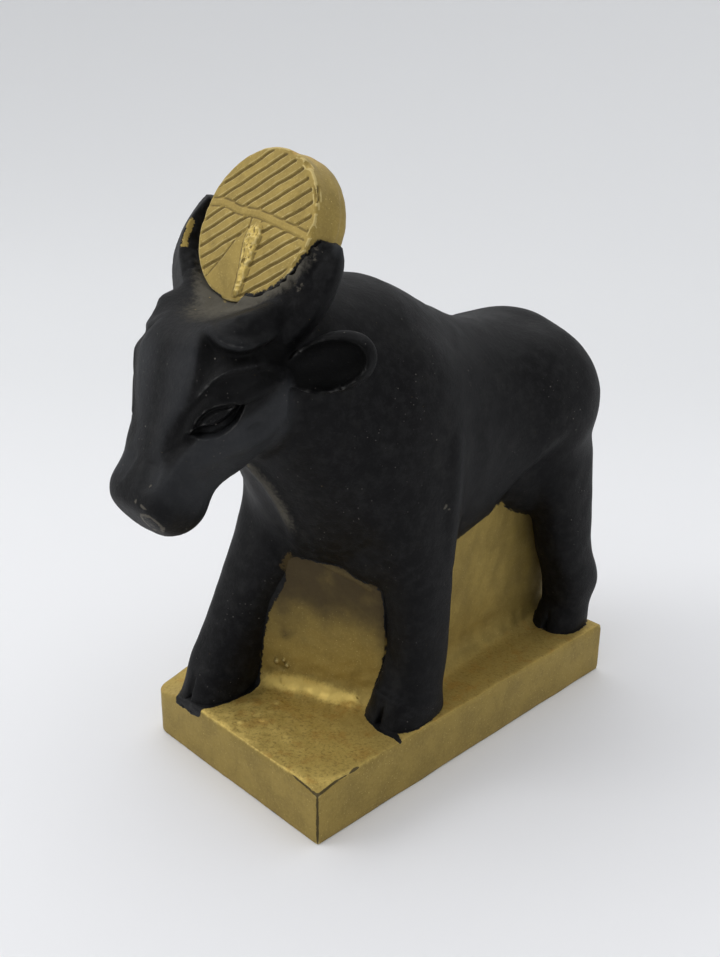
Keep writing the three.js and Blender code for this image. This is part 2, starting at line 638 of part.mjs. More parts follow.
// The point that suits the joined planes best, drawn a little towards the middle
function bestMerge(sum, a, b) {
  const middle = a.map((v, i) => (v + b[i]) / 2);
  const pull = 1e-3 * (sum[0] + sum[4] + sum[7]) + 1e-9;
  const m = new THREE.Matrix3().set(sum[0] + pull, sum[1], sum[2], sum[1], sum[4] + pull, sum[5],
    sum[2], sum[5], sum[7] + pull);
  const right = new THREE.Vector3(pull * middle[0] - sum[3], pull * middle[1] - sum[6],
    pull * middle[2] - sum[8]);
  const point = right.applyMatrix3(m.invert()).toArray();
  return [point, max(planeError(sum, point), 0)];
}

// A merge is refused where it would pinch the skin, fold it over or leave a sliver
function mayMerge(a, b, point, points, triangles, around, neighbours) {
  const nearA = neighbours(a);
  const shared = [...neighbours(b)].filter((v) => nearA.has(v));
  if (shared.length !== 2) return false;
  for (const [moved, other] of [[a, b], [b, a]]) {
    for (const t of around[moved]) {
      if (triangles[t].includes(other)) continue;
      const old = triangles[t].map((v) => points[v]);
      const now = triangles[t].map((v) => (v === moved ? point : points[v]));
      const before = crossOf(...old);
      const after = crossOf(...now);
      const size = hypot(...after);
      const longest = max(...now.map((p, i) => hypot(...p.map((v, k) => v - now[(i + 1) % 3][k]))));
      const agree = before[0] * after[0] + before[1] * after[1] + before[2] * after[2];
      if (agree < 0.4 * size * hypot(...before) || size < 0.12 * longest * longest) return false;
    }
  }
  return true;
}

// A queue that always gives the cheapest merge first
function addToQueue(queue, item) {
  let i = queue.push(item) - 1;
  while (i > 0) {
    const parent = (i - 1) >> 1;
    if (queue[parent].cost <= item.cost) break;
    queue[i] = queue[parent];
    i = parent;
  }
  queue[i] = item;
}

function takeFromQueue(queue) {
  const first = queue[0];
  const item = queue.pop();
  if (!queue.length) return first;
  let i = 0;
  for (;;) {
    let child = 2 * i + 1;
    if (child >= queue.length) break;
    if (child + 1 < queue.length && queue[child + 1].cost < queue[child].cost) child += 1;
    if (queue[child].cost >= item.cost) break;
    queue[i] = queue[child];
    i = child;
  }
  queue[i] = item;
  return first;
}

// A three.js geometry from the vertices and triangles that are left
function packed(points, triangles, around) {
  const order = new Map();
  const position = [];
  const index = [];
  triangles.forEach((triangle, t) => {
    if (!around[triangle[0]].has(t)) return;
    for (const v of triangle) {
      if (!order.has(v)) {
        order.set(v, order.size);
        position.push(...points[v]);
      }
      index.push(order.get(v));
    }
  });
  const geometry = new THREE.BufferGeometry();
  geometry.setAttribute('position', new THREE.Float32BufferAttribute(position, 3));
  geometry.setIndex(index);
  geometry.computeVertexNormals();
  return geometry;
}

// The face and the horns keep more of their triangles than the body
function careFor([, y, z]) {
  return 1 + (FACE_CARE - 1) * ramp(-y - 24, 6) * ramp(z - 44, 6);
}

// Sets the underside exactly flat
function seated(geometry) {
  const position = geometry.getAttribute('position');
  for (let i = 0; i < position.count; i += 1) {
    if (abs(position.getZ(i)) < SEAT_SLACK) position.setZ(i, 0);
  }
  return geometry;
}

const skin = skinOf(figurine, GRID_LOW, GRID_HIGH, CELL);
const blackPaint = new THREE.MeshStandardMaterial({ color: 0x161617, roughness: 0.6, metalness: 0 });
const figurineMesh = new THREE.Mesh(seated(thinOut(skin, TRIANGLES, careFor)), blackPaint);
figurineMesh.name = 'figurine';

const part = new THREE.Group();
part.add(figurineMesh);

export default part;
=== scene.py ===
# %% [markdown]
# # A small cast cow with a sun disc
#
# The real object is one casting about nine centimetres tall, painted black on the
# animal and gold on the base, on the web between the legs and on the disc.
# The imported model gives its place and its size. This lesson makes the surface that
# the eye sees: a finer skin with the carving of the face and the disc, worn paint
# in two colours, and a pale table in soft light.

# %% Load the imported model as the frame
import bmesh
import bpy
import numpy as np
from mathutils import Matrix, Vector


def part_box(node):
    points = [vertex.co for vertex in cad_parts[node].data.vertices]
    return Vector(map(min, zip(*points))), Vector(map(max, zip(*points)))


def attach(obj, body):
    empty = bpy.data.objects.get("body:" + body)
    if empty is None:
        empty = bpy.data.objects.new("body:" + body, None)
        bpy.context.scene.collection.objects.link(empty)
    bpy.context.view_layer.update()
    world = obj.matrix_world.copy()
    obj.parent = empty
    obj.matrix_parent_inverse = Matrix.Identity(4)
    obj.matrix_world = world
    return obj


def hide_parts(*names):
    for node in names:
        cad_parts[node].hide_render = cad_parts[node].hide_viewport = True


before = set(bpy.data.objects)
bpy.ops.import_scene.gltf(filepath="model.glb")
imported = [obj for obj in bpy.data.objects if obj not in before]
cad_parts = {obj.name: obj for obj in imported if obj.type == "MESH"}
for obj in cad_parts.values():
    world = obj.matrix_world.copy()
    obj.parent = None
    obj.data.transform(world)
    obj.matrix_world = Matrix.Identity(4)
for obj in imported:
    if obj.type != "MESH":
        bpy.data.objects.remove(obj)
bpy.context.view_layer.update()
low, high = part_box("figurine")

# %% [markdown]
# ## One unit for every size
#
# All sizes below are millimetres of the drawing that the solid was made from. One of
# them, in metres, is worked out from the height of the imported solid, so the whole
# lesson follows the frame if the figurine is ever made larger or smaller.

# %% The unit
DRAWN_HEIGHT = 90.75
MM = (high.z - low.z) / DRAWN_HEIGHT
print(f"one drawing millimetre is {MM:.6f} m; the solid is {(high.x - low.x) / MM:.1f} mm wide")

# %% [markdown]
# ## The shape as a distance field
#
# A carved animal has no flat faces and no turned ones. It could be pushed into shape
# by hand in sculpt mode, but that leaves nothing to read. Here the shape is a
# function: for any point it tells how far away the surface is, with a minus sign
# inside. Two shapes join softly when the smaller of their distances is rounded off.

# %% Sums that every shape needs
def smooth_min(a, b, k):
    h = np.clip(0.5 + 0.5 * (b - a) / k, 0, 1)
    return b + (a - b) * h - k * h * (1 - h)


def smooth_max(a, b, k):
    return -smooth_min(-a, -b, k)


def ramp(value, width):
    """0 well below zero and 1 well above it, over the given width."""
    h = np.clip(0.5 + value / width, 0, 1)
    return h * h * (3 - 2 * h)


def bump(distance, width):
    """1 at zero, falling softly to 0 at the given width."""
    return np.clip(1 - (distance / width) ** 2, 0, 1) ** 2


def smooth_curve(pairs):
    """A smooth curve through (position, value) pairs, held level past its ends."""
    knots, values = np.array(pairs, float).T
    gaps = np.diff(knots)
    slopes = np.diff(values) / gaps
    inner = (slopes[1:] * gaps[:-1] + slopes[:-1] * gaps[1:]) / (gaps[:-1] + gaps[1:])
    tangents = np.concatenate([slopes[:1], inner, slopes[-1:]])

    def at(position):
        position = np.clip(position, knots[0], knots[-1])
        i = np.clip(np.searchsorted(knots, position) - 1, 0, len(gaps) - 1)
        u = (position - knots[i]) / gaps[i]
        uu = u * u
        uuu = uu * u
        start = (2 * uuu - 3 * uu + 1) * values[i] + (uuu - 2 * uu + u) * gaps[i] * tangents[i]
        return start + (3 * uu - 2 * uuu) * values[i + 1] + (uuu - uu) * gaps[i] * tangents[i + 1]

    return at


def section(x, y, half_x, half_y, power):
    """Distance to a rounded rectangle: power 2 is an ellipse, higher is squarer."""
    sx = np.abs(x) / half_x + 1e-9
    sy = np.abs(y) / half_y + 1e-9
    q = (sx ** power + sy ** power) ** (1 / power)
    k = np.hypot(sx ** (power - 1) / half_x, sy ** (power - 1) / half_y) * q ** (1 - power)
    return (q - 1) / k


def length3(x, y, z):
    return np.sqrt(x * x + y * y + z * z)


def ellipsoid(x, y, z, a, b, c):
    near = length3(x / a, y / b, z / c) + 1e-9
    slope = length3(x / a ** 2, y / b ** 2, z / c ** 2) + 1e-9
    return near * (near - 1) / slope


def taper(x, y, z, a, b, radius_a=0.0, radius_b=0.0):
    """Distance to a straight piece between two points whose radius changes along it."""
    way = np.subtract(b[:3], a[:3])
    px, py, pz = x - a[0], y - a[1], z - a[2]
    h = np.clip((px * way[0] + py * way[1] + pz * way[2]) / (way @ way), 0, 1)
    away = length3(px - h * way[0], py - h * way[1], pz - h * way[2])
    return away - (radius_a + (radius_b - radius_a) * h)


def to_line(x, y, z, points):
    return np.minimum.reduce([taper(x, y, z, a, b) for a, b in zip(points, points[1:])])


def chain(x, y, z, joints, blend):
    """A limb whose centre line runs through joints of (x, y, z, radius)."""
    d = None
    for a, b in zip(joints, joints[1:]):
        link = taper(x, y, z, a, b, a[3], b[3])
        d = link if d is None else smooth_min(d, link, blend)
    return d


# %% [markdown]
# ## Body
#
# The body is lofted: three curves give the height of the back, the height of the
# belly and the half width at every place along the animal. Shoulders and thighs are
# soft lumps that are merged into it, as a carver would leave them standing.

# %% Body
BACK_LINE = [(-32, 64), (-24, 71.5), (-14, 73.4), (-4, 71.4), (4, 68), (12, 65), (19, 63.7),
             (25, 63.7), (30, 64), (33, 62.4), (36, 59.8), (38.6, 56), (40, 52)]
BELLY_LINE = [(-32, 56), (-26, 45), (-20, 33.5), (-15, 30), (-9, 27.6), (-3, 26.2), (4, 26.9),
              (12, 29.3), (20, 32), (27, 34.5), (32, 38), (36.5, 43), (40, 50)]
HALF_WIDTH = [(-32, 7), (-26, 10.5), (-18, 14.5), (-8, 16.2), (0, 15.8), (8, 14.8), (16, 15),
              (24, 15.8), (30, 15.4), (34, 13.8), (37, 10.8), (39, 6.5), (40, 3)]
NECK = [(0, -12, 59, 13.8), (0, -22, 62, 11), (0, -30, 61.5, 9)]
TAIL = [(0, 33, 60.8, 1.3), (0.2, 37.2, 57.6, 1.4), (0.6, 39, 52, 1.4), (1.1, 37.6, 45, 1.3),
        (1.6, 34.6, 38, 1.3), (2, 31.5, 30, 1.6), (2.1, 31, 25, 1.2)]
back_at = smooth_curve(BACK_LINE)
belly_at = smooth_curve(BELLY_LINE)
width_at = smooth_curve(HALF_WIDTH)


def torso(x, y, z):
    back = back_at(y)
    belly = belly_at(y)
    rise = np.clip((z - belly) / (back - belly), 0, 1)
    width = width_at(y) * (1.06 - 0.576 * (rise - 0.42) ** 2)
    d = section(x, z - (back + belly) / 2, width, (back - belly) / 2, 2.15)
    return smooth_max(d, np.abs(y - 3.5) - 36, 5)


def shoulders(x, y, z):
    return ellipsoid(np.abs(x) - 10.2, y + 8.5, z - 48, 7, 10.5, 17)


def brisket(x, y, z):
    """The fold of the chest that runs down to the inner side of the left foreleg."""
    return ellipsoid(x - 8.5, y + 13.5, z - 34, 4.5, 3.6, 4.4)


def thighs(x, y, z):
    return ellipsoid(np.abs(x) - 8.8, y - 25.4, z - 45.6, 7.6, 11.2, 15.4)


print(f"back is {float(back_at(-14.0)):.1f} mm high at the withers, {float(back_at(19.0)):.1f} at the loin")

# %% [markdown]
# ## Legs and hooves
#
# Each leg is an upright loft: its centre and its two half widths change with height.
# The stride is in those numbers, so all four legs share one function. The hoof is a
# stout cone cut by a narrow cleft in front.

# %% Legs
BASE_HEIGHT = 9.06
HOOF = {"radius": 4.55, "height": 4.0, "cleft": 0.12}
LEGS = {
    "left fore": {
        "hoof": (14.7, -12.3), "hoof_size": 1,
        "stations": [(9, 14.6, -11, 4.5, 5.6), (13, 14.4, -10.4, 4.2, 5.1), (17, 14.3, -9.2, 4, 4.8),
                     (24, 14.1, -8.8, 4.1, 4.9), (32, 13.5, -8.6, 4.4, 5.8), (42, 11.6, -8.6, 5, 8),
                     (52, 8.6, -8.6, 4, 8)],
    },
    "right fore": {
        "hoof": (-10.6, -28.3), "hoof_size": 1,
        "stations": [(9, -10.9, -27, 4.8, 5.8), (13, -11.3, -25.8, 5, 5.8), (17, -11, -23.8, 4.9, 5.8),
                     (24, -10.3, -20, 5.6, 6.2), (32, -8.6, -16.4, 7.2, 6.8), (42, -9, -11.8, 6.4, 8),
                     (52, -8.6, -8.6, 4, 8)],
    },
    "left hind": {
        "hoof": (14, 29.9), "hoof_size": 0.9,
        "stations": [(9, 14.2, 30.2, 4, 4.4), (13, 14.2, 30.8, 3.9, 4), (17, 14.4, 31.3, 4.2, 4.9),
                     (24, 14, 29, 4.3, 5), (32, 13.3, 28.1, 4.4, 5.8), (42, 11.2, 26.6, 5.2, 9.1),
                     (52, 8.6, 26.8, 4, 10.4)],
    },
    "right hind": {
        "hoof": (-14.8, 21), "hoof_size": 0.94,
        "stations": [(9, -14.6, 21.6, 4.2, 4.8), (13, -14.6, 22.6, 4, 4.2), (17, -14.6, 23.4, 4.1, 4.8),
                     (24, -14, 23.6, 4.2, 5), (32, -13.3, 24.6, 4.4, 6.8), (42, -11.2, 25.6, 5.2, 9.6),
                     (52, -8.6, 24.5, 4, 10)],
    },
}


def hoof_shape(x, y, z):
    level = np.clip(z, -2, 8)
    radius = HOOF["radius"] - 0.08 * level
    wall = section(x, y - 0.35 * (level - 2), radius, radius * 1.1, 2.4)
    solid = smooth_max(wall, z - HOOF["height"] + 0.25 * y, 1.2)
    crown = 0.22 * bump(z - HOOF["height"] + 0.25 * y - 0.2, 0.9)
    opening = HOOF["cleft"] + 0.06 * np.clip(HOOF["height"] - level, 0, 4)
    return smooth_max(solid, -np.maximum(np.abs(x) - opening, y + 4.2), 0.6) + crown


def leg_field(leg):
    stations = np.array(leg["stations"], float)
    centre_x, centre_y, half_x, half_y = [smooth_curve(stations[:, [0, i]]) for i in (1, 2, 3, 4)]
    bottom, top = stations[0, 0], stations[-1, 0]
    lean = np.abs(np.diff(stations[:, 2]) / np.diff(stations[:, 0])).max()
    slant = np.hypot(1, min(lean, 1))

    def field(x, y, z):
        round_leg = section(x - centre_x(z), y - centre_y(z), half_x(z), half_y(z), 2.6) / slant
        shaft = smooth_max(round_leg, np.abs(z - (bottom + top) / 2) - (top - bottom) / 2, 1)
        size = leg["hoof_size"]
        in_hoof = ((x - leg["hoof"][0]) / size, (y - leg["hoof"][1]) / size, (z - BASE_HEIGHT) / size)
        return smooth_min(shaft, hoof_shape(*in_hoof) * size, 0.7)

    return field


leg_fields = [leg_field(leg) for leg in LEGS.values()]


def legs(x, y, z):
    d = np.minimum.reduce([field(x, y, z) for field in leg_fields])
    return np.maximum(d, BASE_HEIGHT - 1.5 - z)


print(f"{len(leg_fields)} legs, the hooves {2 * HOOF['radius']:.1f} mm across")

# %% [markdown]
# ## Carving on the body
#
# Some forms aren't lumps but cuts: the skin fold that runs from the belly up to the
# hip, the hollow behind the shoulder, the dewlap on the chest. They are added to the
# distance itself. A positive amount digs in and a negative one stands out.

# %% Carving on the body
DEWLAP = [(-1, -28, 49), (1.4, -26.8, 46.4), (2.1, -25, 43), (2, -23.3, 39.6), (1.4, -22, 36)]
DEWLAP_HOLLOW = [(-2.4, -27.4, 46), (-1.6, -24.6, 41), (-1, -22.6, 36.5)]
BEHIND_SHOULDER = [(15.5, 0, 52), (16.5, -0.4, 44), (15, 0, 36)]
FORELEG_RIDGE = [(16.8, -5.4, 51), (17, -5.4, 43), (15.8, -5.4, 33)]
FLANK_AT = (18.1, 43.7)
FLANK_RISE = np.radians(43)
TUFT_GROOVES = [[(side, 31.2, 33), (side * 1.2, 29.4, 26)] for side in (1.0, 3.2)]


def flank_fold(x, y, z):
    behind = (y - FLANK_AT[0]) * np.sin(FLANK_RISE) - (z - FLANK_AT[1]) * np.cos(FLANK_RISE)
    along = (y - FLANK_AT[0]) * np.cos(FLANK_RISE) + (z - FLANK_AT[1]) * np.sin(FLANK_RISE)
    depth = ramp(behind - 0.6, 3.6) * np.clip(1 - behind / 9.5, 0, 1)
    return 2.1 * depth * ramp(along + 9.5, 4) * ramp(3.6 - along, 9) * ramp(np.abs(x) - 7, 6)


def body_relief(x, y, z):
    side = np.abs(x)
    hollow = 0.45 * bump(to_line(side, y, z, BEHIND_SHOULDER), 4.5)
    ridge = bump(to_line(side, y, z, FORELEG_RIDGE), 2.4)
    dewlap = 1.1 * bump(to_line(x, y, z, DEWLAP), 2.6)
    beside = 0.5 * bump(to_line(x, y, z, DEWLAP_HOLLOW), 3)
    return flank_fold(x, y, z) + hollow - ridge - dewlap + beside


# %% [markdown]
# ## Head
#
# The head is lofted along its own axis, from the poll down to the muzzle, with the
# outline of the face on one side and of the throat on the other. The carved lines
# are drawn on its side by angle and distance: the edge of the brow, the eyebrow and
# the upper lid step down one behind the other, as on the real face.

# %% Head
HEAD_AT = (0, -33, 71.5)
HEAD_PITCH = np.radians(65)
FACE_SIDE = [(-5, 1), (-1, 4.4), (4, 5.9), (10, 5.4), (16, 4.3), (21, 4), (25.5, 4.6), (29, 3.6)]
THROAT_SIDE = [(-5, -9), (5, -11), (10, -11.4), (14, -11.2), (18, -9.4), (22, -6.2), (26, -5.5), (30, -4.4)]
HEAD_WIDTH = [(-5, 9), (2, 10.4), (8, 11), (13, 9.7), (18, 7.8), (22, 6.5), (26, 6.6), (30, 5)]
MUZZLE_CUT = (0.86, 0.51, 25.7)
FAR_TEMPLE = (-8.6, 3.8, 5.4)
FACE_EDGE = [(3, 38), (12, 38), (15, 33), (17.5, 26)]
BROW = [(20, 0.8), (28, 2.4), (40, 3.9), (50, 4.7), (60, 4.6), (70, 3.6), (82, 1.8)]
EYEBROW = [(38, 13.5), (46, 11), (52, 9), (58, 7.7), (64, 6.9), (75, 5.8), (85, 5)]
UPPER_LID = [(40, 17.4), (46, 15.6), (53.6, 13.7), (61, 12.1), (69, 11), (76, 10.1), (89, 8), (100, 6.4)]
JAW = [(6, 19.6, 1.5), (8.1, 17, -1.2), (8.9, 15, -4.4), (9.4, 13, -6.8), (10.2, 10.4, -7.6), (10.8, 8, -6.8)]
JAW_CREASE = [(10.7, 7.4, -7.6), (10.5, 10, -9.2), (9.8, 12.3, -10.3), (7.4, 15, -11.8), (3.4, 17.6, -13.2),
              (0, 19.2, -14)]
CHEEK = (9.6, 12.9, -3.9)
EYE_LINE = [(10.2, 10.2, -0.4), (10.6, 8.2, -2.6), (10.4, 6.2, -5)]
HORN_CREASE = [(9.2, 1.6, 2.6), (10.2, 3.2, 0.8), (10.8, 5.4, -0.8)]
TEAR_PIT = (6.3, 16.9, 2.6)
NOSTRIL = [(2.6, 21.4, 3.8), (2.9, 23.6, 3.9)]
face_side_at = smooth_curve(FACE_SIDE)
throat_side_at = smooth_curve(THROAT_SIDE)
head_width_at = smooth_curve(HEAD_WIDTH)
face_edge_at = smooth_curve(FACE_EDGE)
brow_at = smooth_curve(BROW)
eyebrow_at = smooth_curve(EYEBROW)
lid_at = smooth_curve(UPPER_LID)


def in_head(y, z):
    """Distance along the head from the poll, and out of its axis towards the face."""
    dy = y - HEAD_AT[1]
    dz = z - HEAD_AT[2]
    c, s = np.cos(HEAD_PITCH), np.sin(HEAD_PITCH)
    return -c * dy - s * dz, -s * dy + c * dz


def head(x, y, z):
    along, out = in_head(y, z)
    middle = (face_side_at(along) + throat_side_at(along)) / 2
    half = (face_side_at(along) - throat_side_at(along)) / 2
    width = head_width_at(along) * (1 + 0.1 * np.clip((out - middle) / half, -1, 1))
    shaft = section(x, out - middle, width, half, 3)
    muzzle = smooth_max(shaft, along - 30.2, 4)
    muzzle = smooth_max(muzzle, MUZZLE_CUT[0] * along + MUZZLE_CUT[1] * out - MUZZLE_CUT[2], 0.7)
    poll = z - 71.6 - 0.2 * (y + 31) - 0.022 * x * x
    carved = face_carving(np.abs(x), along, out) * (1 - 0.6 * ramp(-x - 2, 3))
    flat = 1.6 * bump(length3(x - FAR_TEMPLE[0], along - FAR_TEMPLE[1], out - FAR_TEMPLE[2]), 5)
    return smooth_max(muzzle, poll, 2.2) + carved + flat


def eye_socket(turn, along):
    """The sunken side of the face: it steps in under the brow, the eyebrow and the lid."""
    brow = brow_at(turn)
    eyebrow = eyebrow_at(turn)
    lid = lid_at(turn)
    inside = ramp(turn - face_edge_at(along) - 1, 19) * ramp(98 - turn, 34) * ramp(lid + 3.2 - along, 5)
    from_brow = np.clip((along - brow) / (eyebrow - brow), 0, 1)
    from_eyebrow = np.clip((along - eyebrow) / (lid - eyebrow), 0, 1)
    depth = ramp(along - brow - 0.6, 1.5) * (1.5 - 0.95 * from_brow)
    depth = depth + 0.35 * ramp(along - eyebrow - 0.6, 1.3) * (1 - from_eyebrow)
    on_side = ramp(turn - face_edge_at(along) + 2, 12) * ramp(86 - turn, 20)
    rims = 0.4 * bump(along - brow + 0.3, 1.3) + 0.24 * bump(along - eyebrow, 1.2) * ramp(turn - 46, 8)
    return inside * depth - rims * on_side


def face_carving(x, along, out):
    turn = np.degrees(np.arctan2(x, out + 3))

    def near_line(points, width):
        return bump(to_line(x, along, out, points), width)

    def near_point(point, width):
        return bump(length3(x - point[0], along - point[1], out - point[2]), width)

    pits = 0.7 * near_point(TEAR_PIT, 1.1) + 0.5 * near_line(NOSTRIL, 1.9) + 0.35 * near_line(HORN_CREASE, 1.2)
    hollow = 0.55 * near_point(CHEEK, 2.3)
    ridges = 0.6 * near_line(JAW, 2.3) + 0.35 * near_line(EYE_LINE, 1.3)
    return eye_socket(turn, along) + pits + hollow - ridges + eye_carving(x, along, out)


def jaw_crease(x, y, z):
    """The fold that parts the head from the neck."""
    along, out = in_head(y, z)
    return 0.85 * bump(to_line(np.abs(x), along, out, JAW_CREASE), 1.7)


# %% [markdown]
# ## Eye
#
# The eye is an almond between its two corners. A ring is cut round it, the ball
# stands up again inside the ring, and the lids keep a thin raised rim.

# %% Eye
EYE_FRONT = Vector((6.6, 16.4, 2.8))
EYE_BACK = Vector((10.5, 11.1, -0.3))
EYE_FACING = Vector((0.82, 0.25, 0.52))
eye_middle = (EYE_FRONT + EYE_BACK) / 2
eye_half = (EYE_BACK - EYE_FRONT).length / 2
eye_long = (EYE_BACK - EYE_FRONT).normalized()
eye_out = (EYE_FACING - EYE_FACING.dot(eye_long) * eye_long).normalized()
eye_up = eye_long.cross(eye_out)


def eye_carving(x, along, out):
    dx, dy, dz = x - eye_middle.x, along - eye_middle.y, out - eye_middle.z
    a = dx * eye_long.x + dy * eye_long.y + dz * eye_long.z
    b = dx * eye_up.x + dy * eye_up.y + dz * eye_up.z
    n = dx * eye_out.x + dy * eye_out.y + dz * eye_out.z
    lids = 1.95 * np.clip(1 - (a / (eye_half + 0.4)) ** 2, 0, 1) - np.abs(b)
    ball = 0.85 * np.clip(1 - ((a - 0.2) / (eye_half - 0.9)) ** 2, 0, 1) - np.abs(b - 0.5)
    upper = ramp(b - 0.2, 1)
    rim = 0.2 * upper * bump(lids + 0.35, 1) * ramp(eye_half + 0.6 - np.abs(a), 1)
    ring = (1.35 - 0.75 * upper) * ramp(lids - 0.3, 0.6)
    pupil = (1.2 - 0.55 * upper) * ramp(ball - 0.1, 0.8) * ramp(lids, 0.4)
    return ramp(3 - np.abs(n), 1.5) * (ring - pupil - rim)


print(f"the eye is {2 * eye_half:.1f} mm long")

# %% [markdown]
# ## Horns and ears
#
# The horns hug the disc, so they are measured in its plane: across, up and out of
# its face. Each is an arc whose radius and thickness change with the angle, cut to a
# facet on its inner side. An ear is a leaf with a hollow scooped out of its front.

# %% Horns and ears
DISC = {"at": (0, -26.7, 81.4), "lean": np.radians(24.5), "half_width": 11.1, "half_height": 10.3,
        "thickness": 4.0}
HORN_ARC = [(-80, 13.2), (-50, 13.7), (-25, 13.5), (0, 12.8)]
HORN_WIDTH = [(-80, 4.8), (-50, 4.1), (-25, 3.4), (-8, 2.6), (0, 2)]
HORNS = [{"side": 1, "tip": -3, "spread": -0.5, "bulge": 0, "stout": 1},
         {"side": -1, "tip": 14, "spread": 1.7, "bulge": 1.3, "stout": 1.12}]
EAR_AT = (14.6, -26.9, 65.7)
EAR_LONG = Vector((0.82, 0.45, 0.34)).normalized()
EAR_FACING = Vector((0.35, -0.93, 0.1))
horn_arc_at = smooth_curve(HORN_ARC)
horn_width_at = smooth_curve(HORN_WIDTH)
ear_out = (EAR_FACING - EAR_FACING.dot(EAR_LONG) * EAR_LONG).normalized()
ear_up = ear_out.cross(EAR_LONG)


def in_disc_plane(y, z):
    dy = y - DISC["at"][1]
    dz = z - DISC["at"][2]
    c, s = np.cos(DISC["lean"]), np.sin(DISC["lean"])
    return s * dy + c * dz, -c * dy + s * dz


def horn(x, up, out, side, tip, spread, bulge, stout):
    across = x * side
    turn = np.degrees(np.arctan2(up, across)) - tip
    width = horn_width_at(turn) * stout
    away = np.hypot(x, up) - spread - bulge * bump(turn + 24, 32) - horn_arc_at(turn)
    front = out + 2.6
    round_horn = section(away, front, width, width * 1.1, 2.4)
    faceted = smooth_max(round_horn, 0.5 * away + 0.87 * front - width * 0.6, 0.35)
    past_tip = np.maximum(up * np.cos(np.radians(tip)) - across * np.sin(np.radians(tip)), 0)
    rim = 0.25 * bump(np.hypot(away - 0.92 * width, front - 0.1 * width), 1)
    closed = smooth_max(faceted - rim, past_tip - 0.4, 2.4)
    footed = smooth_max(closed, np.maximum(-(up + 12.5), 0) - 2, 2)
    return smooth_max(footed, 2 - across, 1)


def horns(x, y, z):
    up, out = in_disc_plane(y, z)
    return np.minimum(*[horn(x, up, out, **one) for one in HORNS])


def in_ear(x, y, z):
    """Places along the ear, across it, and out of its hollow side."""
    dx, dy, dz = np.abs(x) - EAR_AT[0], y - EAR_AT[1], z - EAR_AT[2]
    a = dx * EAR_LONG.x + dy * EAR_LONG.y + dz * EAR_LONG.z
    n = dx * ear_out.x + dy * ear_out.y + dz * ear_out.z
    b = (dx * ear_up.x + dy * ear_up.y + dz * ear_up.z) / (1 + 0.1 * np.clip(a / 6, -1, 1))
    return a, b, n


def ear_hollow(a, b, n):
    return ellipsoid(a + 0.8, b + 0.25, n - 2.1, 6.2, 3.2, 3.2)


def ears(x, y, z):
    a, b, n = in_ear(x, y, z)
    return smooth_max(ellipsoid(a, b, n, 6.2, 3.7, 2.5), -ear_hollow(a, b, n), 0.3)


# %% [markdown]
# ## The three painted parts as fields
#
# The casting is one piece, but its paint divides it cleanly into the black cow, the
# gold base with its web, and the gold disc. Each becomes a mesh of its own, so each
# can be as fine as its detail needs. They meet where the two paints meet.

# %% Cow, stand and disc
BASE = {"width": 40.0, "length": 68.8, "edge_round": 0.4}
WEB = {"left": 9.2, "right": 9.5, "back": 31.5, "top": 33.0, "fillet": 4.0}


def cow(x, y, z):
    d = smooth_min(torso(x, y, z), chain(x, y, z, NECK, 3), 4)
    d = smooth_min(d, shoulders(x, y, z), 3)
    d = smooth_min(d, brisket(x, y, z), 2)
    d = smooth_min(d, thighs(x, y, z), 4.5)
    d = smooth_min(d, legs(x, y, z), 3 - 1.8 * ramp(y - 8, 6)) + body_relief(x, y, z)
    d = smooth_min(d, chain(x, y, z, TAIL, 0.8), 1)
    d = smooth_min(d, head(x, y, z), 1.6) + jaw_crease(x, y, z)
    d = smooth_min(d, ears(x, y, z), 0.8)
    return smooth_min(d, horns(x, y, z), 0.8)


def base(x, y, z):
    r = BASE["edge_round"]
    dx = np.abs(x) - (BASE["width"] / 2 - r)
    dy = np.abs(y) - (BASE["length"] / 2 - r)
    dz = z - (BASE_HEIGHT - r)
    outside = length3(np.maximum(dx, 0), np.maximum(dy, 0), np.maximum(dz, 0))
    return outside + np.minimum(np.maximum(np.maximum(dx, dy), dz), 0) - r


def web(x, y, z):
    left = x - WEB["left"] - 0.11 * np.maximum(10 - y, 0)
    right = -x - WEB["right"] + 0.28 * np.maximum(-12 - y, 0) * ramp(z - 22, 6)
    front = 0.447 * (x - 10.2) - 0.894 * (y + 14.2)
    ends = smooth_max(front, y - WEB["back"], 1)
    sides = smooth_max(smooth_max(left, right, 2), ends, 1.2)
    return smooth_max(sides, z - WEB["top"] - 0.1 * (y + 17), 1.5)


def stand(x, y, z):
    return np.maximum(smooth_min(base(x, y, z), web(x, y, z), WEB["fillet"]), -z)


def sun_disc(x, y, z):
    up, out = in_disc_plane(y, z)
    half = DISC["thickness"] / 2
    front = smooth_max(section(x, up, DISC["half_width"], DISC["half_height"], 2), np.abs(out + half) - half, 0.3)
    rear = section(x + 0.35, up + 0.3, DISC["half_width"] + 0.2, DISC["half_height"] + 0.9, 2)
    return smooth_min(front, smooth_max(rear, np.abs(out + 4.2) - 2.2, 2), 0.6)


# %% [markdown]
# ## From a field to a skin
#
# A grid of points is laid over the space, and the field is asked only in the blocks
# that the surface passes through. Every grid cell that the surface cuts gets one
# vertex for each sheet of surface in it, and every cut grid edge is closed by a
# four-sided face between the vertices round it. That is dual contouring: it keeps
# the sharp edges of the base, and its faces are even squares, which shade well.

# %% The field on a grid
BLOCK = 4


